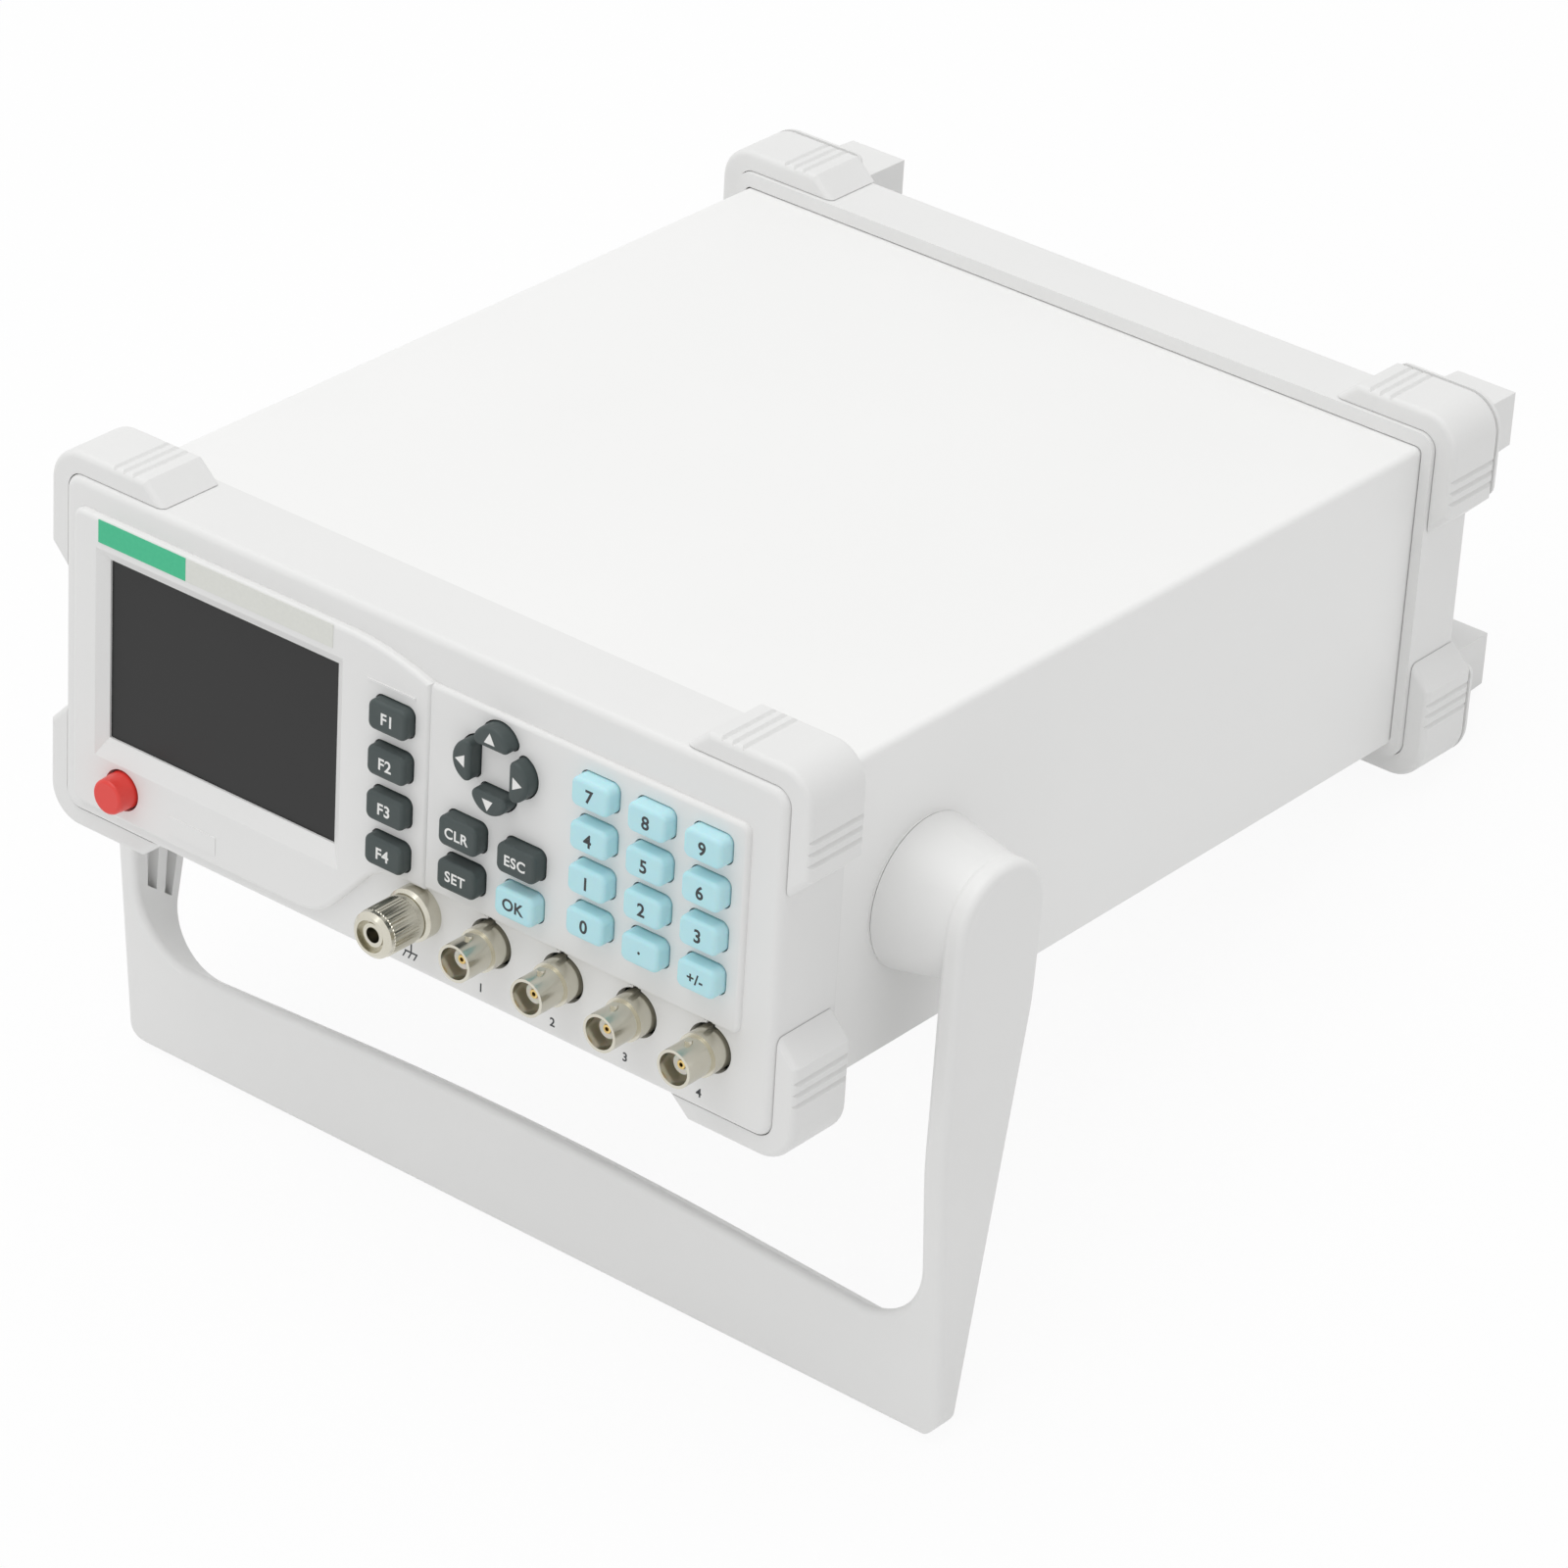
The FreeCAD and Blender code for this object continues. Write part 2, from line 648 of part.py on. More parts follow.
def window_cuts():
    """Bevelled opening of the screen and the pocket for its glass."""
    front = -DISPLAY_FIELD_RISE
    deep = front + WINDOW_BEVEL_DEPTH
    extra = (WINDOW_BEVEL_BASE - WINDOW_BEVEL) / 2
    outer = rounded_wire(rectangle(WINDOW_X, WINDOW_Z - extra, WINDOW_WIDTH + 2 * WINDOW_BEVEL,
                                   WINDOW_HEIGHT + WINDOW_BEVEL + WINDOW_BEVEL_BASE), xz)
    outer.translate(Vector(0, front, 0))
    inner = rounded_wire(rectangle(WINDOW_X, WINDOW_Z, WINDOW_WIDTH, WINDOW_HEIGHT), xz)
    inner.translate(Vector(0, deep, 0))
    bevel = Part.makeLoft([outer, inner], True, True)
    through = slab(WINDOW_X, WINDOW_Z, WINDOW_WIDTH, WINDOW_HEIGHT, deep, PANEL_BACK)
    grow = 2 * (GLASS_MARGIN + GLASS_GAP)
    pocket = slab(WINDOW_X, WINDOW_Z, WINDOW_WIDTH + grow, WINDOW_HEIGHT + grow, GLASS_FRONT, PANEL_BACK)
    return [bevel, through, pocket]


def jack_hole(x):
    notch_top = JACK_Z + JACK_HOLE_RADIUS + JACK_NOTCH_HEIGHT
    half = JACK_NOTCH_WIDTH / 2
    notch = block(x - half, x + half, -PAST, PANEL_BACK, JACK_Z, notch_top)
    return disc(x, JACK_Z, JACK_HOLE_RADIUS, -PAST, PANEL_BACK).fuse(notch)


def front_bezel():
    shell = slab(0, MID_Z, BEZEL_WIDTH, BEZEL_HEIGHT, BEZEL_FRONT, FRONT_BEZEL_BACK, BEZEL_CORNER)
    shell = shell.makeFillet(BEZEL_ROUND, edges_where(shell, at_y(BEZEL_FRONT)))
    room_width = COVER_WIDTH + 2 * COVER_GAP
    room_height = COVER_HEIGHT + 2 * COVER_GAP
    shell = shell.cut(slab(0, MID_Z, room_width, room_height, PANEL_BACK, FRONT_BEZEL_BACK, COVER_BEND))
    posts = [disc(x, z, BOSS_RADIUS, PANEL_BACK, BOARD_FRONT) for x, z in boss_places()]
    posts += [disc(x, z, BOSS_RADIUS, PANEL_BACK, PLATE_FRONT) for x, z in plate_screw_places()]
    body = joined([shell, display_field(), key_field()] + posts)
    cuts = window_cuts()
    for kind, x, z in key_places().values():
        cuts.append(key_block(kind, x, z, KEY_CLEAR, -KEY_STAND, PANEL_BACK))
    cuts.append(disc(POWER_X, POWER_Z, POWER_BASE_RADIUS + POWER_CLEAR, -POWER_STAND, PANEL_BACK))
    cuts += [jack_hole(x) for x in JACK_XS]
    cuts.append(disc(POST_X, JACK_Z, POST_NECK_RADIUS + FIT_GAP, -PAST, PANEL_BACK))
    for places, seat in ((boss_places(), BOARD_FRONT), (plate_screw_places(), PLATE_FRONT)):
        for x, z in places:
            cuts.append(disc(x, z, SCREW_RADIUS + SCREW_CLEAR, seat - SCREW_REACH, seat))
    return body.cut(cuts)


def screen_window():
    grow = 2 * GLASS_MARGIN
    return slab(WINDOW_X, WINDOW_Z, WINDOW_WIDTH + grow, WINDOW_HEIGHT + grow, GLASS_FRONT, GLASS_BACK)


def lcd_module():
    grow = 2 * GLASS_MARGIN
    return slab(WINDOW_X, WINDOW_Z, WINDOW_WIDTH + grow, WINDOW_HEIGHT + grow, GLASS_BACK, BOARD_FRONT)


def front_board():
    side = COVER_SIDE - COVER_WALL - BOARD_GAP
    top = COVER_TOP - COVER_WALL - BOARD_GAP
    low = MID_Z - BOARD_DROP
    tab_low = COVER_BASE + BOARD_EDGE
    tab_right = BEZEL_LEFT + BOARD_TAB + BOARD_EDGE
    corners = [(-side, tab_low, 0.0), (tab_right, tab_low, 0.0), (tab_right, low, 0.0), (side, low, 0.0),
               (side, top, 0.0), (-side, top, 0.0)]
    board = prism(corners, BOARD_FRONT, BOARD_BACK)
    cuts = [disc(x, z, SCREW_RADIUS + SCREW_CLEAR, BOARD_FRONT, BOARD_BACK) for x, z in boss_places()]
    room = POWER_SWITCH_SIDE + 2 * FIT_GAP
    cuts.append(slab(POWER_X, POWER_Z, room, room, BOARD_FRONT, BOARD_BACK))
    return board.cut(cuts)


def screw(x, z, seat, reach, radius, head_radius, head):
    """Screw whose head sits on a face at y = seat, its shank running to the front."""
    return spun(x, z, [(seat - reach, radius), (seat, radius), (seat, head_radius),
                       (seat + head, head_radius)])


def board_screws():
    screws = []
    for places, seat, thick in ((boss_places(), BOARD_BACK, BOARD_THICK),
                                (plate_screw_places(), PLATE_BACK, PLATE_THICK)):
        for x, z in places:
            screws.append(screw(x, z, seat, thick + SCREW_REACH - PAST, SCREW_RADIUS,
                                SCREW_HEAD_RADIUS, SCREW_HEAD))
    for x, y, z in standoff_places():
        seat = z + STANDOFF_HEIGHT + BOARD_THICK
        shank = Part.makeCylinder(SCREW_RADIUS, BOARD_THICK, Vector(x, y, seat - BOARD_THICK))
        head = Part.makeCylinder(SCREW_HEAD_RADIUS, SCREW_HEAD, Vector(x, y, seat))
        screws.append(shank.fuse(head))
    return Part.makeCompound(screws)


# Jacks, terminal plate and ground post


def bnc_shells():
    shells = []
    face = -JACK_STAND
    step = face + JACK_BARREL
    shoulder = PLATE_FRONT - JACK_SHOULDER
    tail = PLATE_BACK + JACK_TAIL
    for x in JACK_XS:
        body = spun(x, JACK_Z, [
            (face, JACK_BARREL_RADIUS), (step, JACK_BARREL_RADIUS), (step, JACK_COLLAR_RADIUS),
            (shoulder, JACK_COLLAR_RADIUS), (shoulder, JACK_SHOULDER_RADIUS),
            (PLATE_FRONT, JACK_SHOULDER_RADIUS), (PLATE_FRONT, JACK_THREAD_RADIUS),
            (tail, JACK_THREAD_RADIUS)])
        lug_length = 2 * (JACK_BARREL_RADIUS + LUG_REACH)
        lugs = Part.makeCylinder(LUG_RADIUS, lug_length,
                                 Vector(x, face + LUG_SETBACK, JACK_Z - lug_length / 2))
        bore = disc(x, JACK_Z, JACK_BORE_RADIUS, face, face + JACK_BORE_DEPTH)
        core = disc(x, JACK_Z, CONTACT_RADIUS + FIT_GAP, face, tail)
        shells.append(body.fuse(lugs).cut([bore, core]))
    return Part.makeCompound(shells)


def bnc_insulators():
    pieces = []
    seat = JACK_BORE_DEPTH - JACK_STAND
    for x in JACK_XS:
        piece = spun(x, JACK_Z, [
            (INSULATOR_SETBACK - JACK_STAND, INSULATOR_NOSE_RADIUS),
            (seat - INSULATOR_BASE, INSULATOR_NOSE_RADIUS),
            (seat - INSULATOR_BASE, JACK_BORE_RADIUS - FIT_GAP), (seat, JACK_BORE_RADIUS - FIT_GAP)])
        hole = disc(x, JACK_Z, CONTACT_RADIUS + FIT_GAP, -JACK_STAND, seat)
        pieces.append(piece.cut(hole))
    return Part.makeCompound(pieces)


def bnc_contacts():
    pieces = []
    tip = INSULATOR_SETBACK - CONTACT_PROUD - JACK_STAND
    for x in JACK_XS:
        pin = disc(x, JACK_Z, CONTACT_RADIUS, tip, PLATE_BACK + JACK_TAIL + PAST)
        pieces.append(pin.cut(disc(x, JACK_Z, CONTACT_BORE, tip, tip + CONTACT_BORE_DEPTH)))
    return Part.makeCompound(pieces)


def terminal_plate():
    left = POST_X - PLATE_BORDER
    right = JACK_XS[-1] + PLATE_BORDER
    low = JACK_Z - PLATE_BORDER
    high = JACK_Z + PLATE_BORDER
    plate = block(left, right, PLATE_FRONT, PLATE_BACK, low, high)
    cuts = [disc(x, JACK_Z, JACK_THREAD_RADIUS + FIT_GAP, PLATE_FRONT, PLATE_BACK) for x in JACK_XS]
    cuts.append(disc(POST_X, JACK_Z, POST_TAIL_RADIUS + FIT_GAP, PLATE_FRONT, PLATE_BACK))
    for x, z in plate_screw_places():
        cuts.append(disc(x, z, SCREW_RADIUS + SCREW_CLEAR, PLATE_FRONT, PLATE_BACK))
    return plate.cut(cuts)


def terminal_nuts():
    nuts = []
    end = PLATE_BACK + NUT_THICK
    for x, flats, radius in [(x, NUT_FLATS, JACK_THREAD_RADIUS) for x in JACK_XS] + [
            (POST_X, POST_NUT_FLATS, POST_TAIL_RADIUS)]:
        nut = hexagon(x, JACK_Z, flats, PLATE_BACK, end)
        nuts.append(nut.cut(disc(x, JACK_Z, radius + FIT_GAP, PLATE_BACK, end)))
    return Part.makeCompound(nuts)


def ground_post_stud():
    collar_front = BEZEL_FRONT - POST_COLLAR
    tip = KNOB_FRONT + KNOB_MOUTH / 2
    body = spun(POST_X, JACK_Z, [
        (tip, POST_ROD_RADIUS), (collar_front, POST_ROD_RADIUS),
        (collar_front, POST_COLLAR_RADIUS - POST_COLLAR_ROUND),
        (collar_front + POST_COLLAR_ROUND, POST_COLLAR_RADIUS), (BEZEL_FRONT, POST_COLLAR_RADIUS),
        (BEZEL_FRONT, POST_NECK_RADIUS), (PLATE_FRONT, POST_NECK_RADIUS),
        (PLATE_FRONT, POST_TAIL_RADIUS), (PLATE_BACK + POST_TAIL, POST_TAIL_RADIUS)])
    stud = body.cut(disc(POST_X, JACK_Z, POST_SOCKET_RADIUS, tip, tip + POST_SOCKET_DEPTH))
    # The turn sets the seam of its round faces between the planes that halve and quarter them.
    stud.rotate(Vector(POST_X, 0, JACK_Z), Vector(0, 1, 0), POST_SEAM_TURN)
    return stud


def ground_post_washer():
    front = KNOB_BACK + WASHER_GAP
    ring = disc(POST_X, JACK_Z, WASHER_RADIUS, front, front + WASHER_THICK)
    return ring.cut(disc(POST_X, JACK_Z, POST_ROD_RADIUS + RUNNING_GAP, front, front + WASHER_THICK))


def ground_post_nut():
    knob = spun(POST_X, JACK_Z, [
        (KNOB_FRONT, KNOB_RADIUS - KNOB_RIM), (KNOB_FRONT + KNOB_RIM, KNOB_RADIUS), (KNOB_BACK, KNOB_RADIUS)])
    mouth = disc(POST_X, JACK_Z, KNOB_MOUTH_RADIUS, KNOB_FRONT, KNOB_FRONT + KNOB_MOUTH)
    bore = disc(POST_X, JACK_Z, POST_ROD_RADIUS + RUNNING_GAP, KNOB_FRONT, KNOB_BACK)
    return knob.cut([mouth, bore])


# Case


def top_cover():
    length = COVER_REAR_Y - COVER_FRONT_Y
    outer = rectangle(0, MID_Z, COVER_WIDTH, COVER_HEIGHT)
    outer = [(x, z, COVER_BEND if z > MID_Z else 0.0) for x, z, corner in outer]
    inner_width = COVER_WIDTH - 2 * COVER_WALL
    inner = rectangle(0, MID_Z - COVER_WALL / 2, inner_width, COVER_HEIGHT - COVER_WALL)
    inner = [(x, z, COVER_BEND - COVER_WALL if z > MID_Z else 0.0) for x, z, corner in inner]
    sheet = prism(outer, COVER_FRONT_Y, COVER_FRONT_Y + length)
    sheet = sheet.cut(prism(inner, COVER_FRONT_Y, COVER_FRONT_Y + length))
    return sheet.cut([hub_bolt_hole(side) for side in (-1, 1)])


def hub_bolt_hole(side):
    reach = 2 * COVER_WALL
    start = Vector(side * (COVER_SIDE - COVER_WALL) - (reach if side < 0 else 0), HUB_Y, HUB_Z)
    return Part.makeCylinder(HUB_BOLT_RADIUS + FIT_GAP, reach, start, Vector(1, 0, 0))


def bottom_tray():
    side = COVER_SIDE - COVER_WALL - TRAY_GAP
    bend = COVER_BEND - COVER_WALL
    outer = [(-side, COVER_BASE, bend), (side, COVER_BASE, bend),
             (side, COVER_BASE + TRAY_FLANGE, 0.0), (-side, COVER_BASE + TRAY_FLANGE, 0.0)]
    wide = side - COVER_WALL
    inner = [(-wide, TRAY_FLOOR, 0.0), (wide, TRAY_FLOOR, 0.0),
             (wide, COVER_BASE + TRAY_FLANGE, 0.0), (-wide, COVER_BASE + TRAY_FLANGE, 0.0)]
    sheet = prism(outer, COVER_FRONT_Y, COVER_REAR_Y)
    return sheet.cut(prism(inner, COVER_FRONT_Y, COVER_REAR_Y))


def lip_hole():
    """Width and height of the opening in the rear bezel."""
    width = BEZEL_WIDTH - 2 * (REAR_LIP_SIDE + BEZEL_WALL_SIDE)
    height = BEZEL_HEIGHT - 2 * (REAR_LIP_TOP + BEZEL_WALL_TOP)
    return width, height


def case_screw_places():
    height = lip_hole()[1]
    rise = (height + COVER_HEIGHT) / 4
    return [(x * CASE_SCREW_X, MID_Z + z * rise) for x in (-1, 1) for z in (-1, 1)]


def rear_bezel():
    frame = slab(0, MID_Z, BEZEL_WIDTH, BEZEL_HEIGHT, REAR_BEZEL_FRONT, REAR_BEZEL_BACK, BEZEL_CORNER)
    frame = frame.makeFillet(BEZEL_ROUND, edges_where(frame, at_y(REAR_BEZEL_BACK)))
    room_width = COVER_WIDTH + 2 * COVER_GAP
    room_height = COVER_HEIGHT + 2 * COVER_GAP
    cuts = [slab(0, MID_Z, room_width, room_height, REAR_BEZEL_FRONT, LIP_FRONT, COVER_BEND)]
    cuts.append(slab(0, MID_Z, *lip_hole(), LIP_FRONT, REAR_BEZEL_BACK, BEZEL_CORNER))
    for x, z in case_screw_places():
        cuts.append(disc(x, z, CASE_SCREW_RADIUS + SCREW_CLEAR, LIP_FRONT, REAR_BEZEL_BACK))
        cuts.append(disc(x, z, CASE_HEAD_RADIUS + KEY_CLEAR, REAR_BEZEL_BACK - CASE_HEAD, REAR_BEZEL_BACK))
    return frame.cut(cuts)


def rear_panel():
    side = COVER_SIDE - COVER_WALL - TRAY_GAP - COVER_WALL - COVER_GAP
    low = TRAY_FLOOR
    high = COVER_TOP - COVER_WALL - COVER_GAP
    front = LIP_FRONT - REAR_PANEL_THICK
    plate = block(-side, side, front, LIP_FRONT, low, high)
    grow = 2 * FIT_GAP
    cuts = [slab(INLET_X, INLET_Z, INLET_WIDTH + grow, INLET_HEIGHT + grow, front, LIP_FRONT)]
    cuts.append(slab(PORT_X, PORT_Z, PORT_SHELL_WIDTH + grow, PORT_SHELL_HEIGHT + grow, front, LIP_FRONT))
    for i in range(VENT_COUNT):
        x = VENT_X + (i - (VENT_COUNT - 1) / 2) * VENT_PITCH
        cuts.append(slab(x, MID_Z, VENT_WIDTH, VENT_HEIGHT, front, LIP_FRONT, VENT_WIDTH / 2 - SAME))
    for x, z in case_screw_places():
        cuts.append(disc(x, z, CASE_SCREW_RADIUS + SCREW_CLEAR, front, LIP_FRONT))
    return plate.cut(cuts)


def case_screws():
    seat = REAR_BEZEL_BACK - CASE_HEAD
    reach = seat - LIP_FRONT + REAR_PANEL_THICK + PAST
    return Part.makeCompound([
        screw(x, z, seat, reach, CASE_SCREW_RADIUS, CASE_HEAD_RADIUS, CASE_HEAD - SCREW_CLEAR)
        for x, z in case_screw_places()])


# Corner bumpers


def bumper_outline():
    """L-shaped outline of the upper right bumper."""
    inner_x = BEZEL_RIGHT + BUMPER_GAP
    inner_z = BEZEL_TOP + BUMPER_GAP
    outer_x = BEZEL_RIGHT + BUMPER_SIDE
    outer_z = BEZEL_TOP + BUMPER_RISE
    leg_x = BEZEL_RIGHT - TOP_LEG
    leg_z = BEZEL_TOP - SIDE_LEG
    return [
        (leg_x, inner_z, 0.0), (inner_x, inner_z, BEZEL_CORNER + BUMPER_GAP), (inner_x, leg_z, 0.0),
        (outer_x, leg_z + LEG_SLOPE, 0.0), (outer_x, outer_z, BUMPER_CORNER),
        (leg_x + LEG_SLOPE, outer_z, 0.0)]


def groove(x, z, along_x, y0, y1):
    """Three-sided bar that cuts one groove into a leg whose outer face passes through x and z."""
    half = GROOVE_PITCH / 4
    if along_x:
        corners = [(x - half, z + SAME, 0.0), (x, z - GROOVE_DEPTH, 0.0), (x + half, z + SAME, 0.0)]
    else:
        corners = [(x + SAME, z - half, 0.0), (x - GROOVE_DEPTH, z, 0.0), (x + SAME, z + half, 0.0)]
    return prism(corners, y0, y1)


def bumper(y0, y1):
    guard = prism(bumper_outline(), y0, y1)
    guard = guard.makeFillet(BUMPER_ROUND, outer_rims(guard, y0, y1))
    outer_x = BEZEL_RIGHT + BUMPER_SIDE
    outer_z = BEZEL_TOP + BUMPER_RISE
    first_x = BEZEL_RIGHT - TOP_LEG + LEG_SLOPE + GROOVE_START
    first_z = BEZEL_TOP - SIDE_LEG + LEG_SLOPE + GROOVE_START
    cuts = []
    for i in range(GROOVE_COUNT):
        cuts.append(groove(first_x + i * GROOVE_PITCH, outer_z, True, y0 - PAST, y1 + PAST))
        cuts.append(groove(outer_x, first_z + i * GROOVE_PITCH, False, y0 - PAST, y1 + PAST))
    return guard.cut(cuts)


def outer_rims(guard, y0, y1):
    """End edges of a bumper that run along its outer faces, not along the bezel."""
    rims = []
    for edge in edges_where(guard, lambda box: at_y(y0)(box) or at_y(y1)(box)):
        middle = edge.valueAt((edge.FirstParameter + edge.LastParameter) / 2)
        on_bezel = middle.x < BEZEL_RIGHT + 2 * BUMPER_GAP and middle.z < BEZEL_TOP + 2 * BUMPER_GAP
        if not on_bezel:
            rims.append(edge)
    return rims


def rear_foot():
    """Plate behind the rear bezel with the block that the tester stands on when it is set on its back."""
    plate_front = REAR_BEZEL_BACK + BUMPER_GAP
    plate_back = REAR_BEZEL_BACK + FOOT_PLATE
    x = BEZEL_RIGHT - FOOT_INSET - FOOT_WIDTH / 2
    z = BEZEL_TOP - FOOT_DROP - FOOT_HEIGHT / 2
    foot = tapered(x, z, (FOOT_WIDTH, FOOT_HEIGHT), (FOOT_WIDTH - FOOT_TAPER, FOOT_HEIGHT - FOOT_TAPER),
                   plate_back, plate_back + FOOT_LENGTH)
    outer_x = BEZEL_RIGHT + BUMPER_SIDE
    outer_z = BEZEL_TOP + BUMPER_RISE
    left = x - FOOT_WIDTH / 2 - FOOT_MARGIN
    low = z - FOOT_HEIGHT / 2 - FOOT_MARGIN
    plate = prism([(left, low, FIELD_CORNER), (outer_x, low, FIELD_CORNER), (outer_x, outer_z, BUMPER_CORNER),
                   (left, outer_z, FIELD_CORNER)], plate_front, plate_back)
    plate = plate.makeFillet(FOOT_ROUND, edges_where(plate, at_y(plate_back)))
    return plate.fuse(foot)


def four_corners(piece):
    right = [piece, mirrored_z(piece)]
    return Part.makeCompound(right + [mirrored_x(one) for one in right])


def front_bumpers():
    y0 = BEZEL_FRONT + BUMPER_SETBACK
    return four_corners(bumper(y0, y0 + BUMPER_DEPTH))


def rear_bumpers():
    guard = bumper(REAR_BUMPER_FRONT, REAR_BEZEL_BACK + BUMPER_GAP)
    return four_corners(guard.fuse(rear_foot()))


# Carry handle


def strap_corners():
    """Side outline of the handle: a strap that tapers from the hub to the thin lower bar."""
    front = -BAR_SETBACK - BAR_THICK / 2
    rear = -BAR_SETBACK + BAR_THICK / 2
    corners = [(-ARM_TOP, ARM_TOP, ARM_TOP_ROUND), (ARM_TOP, ARM_TOP, ARM_TOP_ROUND), ARM_REAR_KNEE,
               (rear, -HANDLE_DROP, BAR_ROUND), (front, -HANDLE_DROP, BAR_ROUND), ARM_FRONT_KNEE]
    return [(HUB_Y + y, HUB_Z + z, radius) for y, z, radius in corners]


def handle_front():
    """Front view of the handle: a U with rounded lower corners, whose arched grip falls to the rear."""
    top = HUB_Z + 2 * HUB_RADIUS
    low = BAR_BASE
    y0 = HUB_Y - 2 * HUB_RADIUS
    y1 = HUB_Y + 2 * HUB_RADIUS
    outline = [(-ARM_OUTER, low, BAR_CORNER), (ARM_OUTER, low, BAR_CORNER), (ARM_OUTER, top, 0.0),
               (-ARM_OUTER, top, 0.0)]
    grip = low + BAR_HEIGHT
    crest = (BAR_ARCH ** 2 + ARM_INNER ** 2) / (2 * BAR_ARCH)
    opening = [(-ARM_INNER, grip, GUSSET_RADIUS), (0.0, grip + 2 * BAR_ARCH, crest / 2),
               (ARM_INNER, grip, GUSSET_RADIUS), (ARM_INNER, top + PAST, 0.0), (-ARM_INNER, top + PAST, 0.0)]
    mouth = Part.Face(rounded_wire(opening, xz))
    mouth.translate(Vector(0, y0, GRIP_SLOPE * (GRIP_Y - y0)))
    return prism(outline, y0, y1).cut(mouth.extrude(Vector(0, y1 - y0, GRIP_SLOPE * (y0 - y1))))


def strap_span(drop):
    """Front and rear edges of the strap at a depth below the hub."""
    edges = []
    for knee, side in ((ARM_FRONT_KNEE, -1), (ARM_REAR_KNEE, 1)):
        y0, z0 = (knee[0], -knee[1]) if drop > -knee[1] else (side * ARM_TOP, 0.0)
        y1, z1 = (side * BAR_THICK / 2 - BAR_SETBACK, HANDLE_DROP) if drop > -knee[1] else (knee[0], -knee[1])
        edges.append(HUB_Y + y0 + (y1 - y0) * (drop - z0) / (z1 - z0))
    return edges


def arm_channels():
    """Two tapered channels on the inner face of the right arm, either side of a rib."""
    cuts = []
    for side in (-1, 1):
        corners = []
        for drop in (CHANNEL_TOP, CHANNEL_END):
            front, rear = strap_span(drop)
            middle = (front + rear) / 2
            edge = (rear - front) / 2 - CHANNEL_WALL
            pair = [Vector(ARM_INNER, middle + side * y, HUB_Z - drop) for y in (CHANNEL_RIB, edge)]
            corners += pair if drop == CHANNEL_TOP else pair[::-1]
        face = Part.Face(Part.makePolygon(corners + corners[:1]))
        cuts.append(face.extrude(Vector(CHANNEL_DEPTH, 0, 0)))
    return cuts


def hub_cylinder(x0, x1, radius):
    return Part.makeCylinder(radius, x1 - x0, Vector(x0, HUB_Y, HUB_Z), Vector(1, 0, 0))


def on_grip_rim(box):
    """Whether an edge lies round the front of the handle's opening."""
    within = max(-box.XMin, box.XMax) < ARM_INNER + SAME
    return within and box.Center.y < GRIP_Y and box.ZMin > BAR_BASE + SAME


def carry_handle():
    strap = Part.Face(rounded_wire(strap_corners(), yz))
    strap.translate(Vector(-ARM_OUTER, 0, 0))
    strap = strap.extrude(Vector(2 * ARM_OUTER, 0, 0))
    ends = edges_where(strap, lambda box: at_x(-ARM_OUTER)(box) or at_x(ARM_OUTER)(box))
    strap = strap.makeFillet(ARM_ROUND, ends)
    loop = strap.common(handle_front())
    loop = loop.makeFillet(GRIP_ROUND, edges_where(loop, on_grip_rim))
    near = COVER_SIDE + HUB_WASHER_THICK + HUB_SIDE_GAP
    boss = Part.makeCone(HUB_RADIUS, HUB_RADIUS - HUB_TAPER, ARM_INNER - near, Vector(near, HUB_Y, HUB_Z),
                         Vector(1, 0, 0))
    bore = hub_cylinder(near, ARM_INNER + HUB_CORE_END, HUB_CORE_RADIUS + HUB_RUNNING_GAP)
    cuts = arm_channels() + [bore]
    cuts += [mirrored_x(cut) for cut in cuts]
    return joined([loop, boss, mirrored_x(boss)]).cut(cuts)


def both_sides(piece):
    return Part.makeCompound([piece, mirrored_x(piece)])


def hub_cores():
    core = hub_cylinder(COVER_SIDE, ARM_INNER + HUB_CORE_END - HUB_SIDE_GAP, HUB_CORE_RADIUS)
    hole = hub_cylinder(COVER_SIDE, COVER_SIDE + HUB_BOLT_REACH, HUB_BOLT_RADIUS + FIT_GAP)
    return both_sides(core.cut(hole))


def hub_washers():
    ring = hub_cylinder(COVER_SIDE, COVER_SIDE + HUB_WASHER_THICK, HUB_RADIUS)
    hole = hub_cylinder(COVER_SIDE, COVER_SIDE + HUB_WASHER_THICK, HUB_CORE_RADIUS + FIT_GAP)
    return both_sides(ring.cut(hole))


def hub_bolts():
    inside = COVER_SIDE - COVER_WALL
    shank = hub_cylinder(inside, COVER_SIDE + HUB_BOLT_REACH - PAST, HUB_BOLT_RADIUS)
    return both_sides(shank.fuse(hub_cylinder(inside - HUB_BOLT_HEAD, inside, HUB_BOLT_HEAD_RADIUS)))


# Boards and transformer inside


def board_boxes():
    """Left, right, front and back edges of the two inner boards."""
    main_front = FRONT_BEZEL_BACK + MAIN_BOARD_BACK
    power_back = LIP_FRONT - REAR_PANEL_THICK - REAR_CLEAR
    half = MAIN_BOARD_WIDTH / 2
    power_half = POWER_BOARD_WIDTH / 2
    return {
        "main": (-half, half, main_front, main_front + MAIN_BOARD_LENGTH),
        "power": (POWER_BOARD_X - power_half, POWER_BOARD_X + power_half,
                  power_back - POWER_BOARD_LENGTH, power_back)}


def board_holes(name):
    x0, x1, y0, y1 = board_boxes()[name]
    inset = BOARD_HOLE_INSET
    return [(x, y) for x in (x0 + inset, x1 - inset) for y in (y0 + inset, y1 - inset)]


def standoff_places():
    return [(x, y, TRAY_FLOOR) for name in board_boxes() for x, y in board_holes(name)]


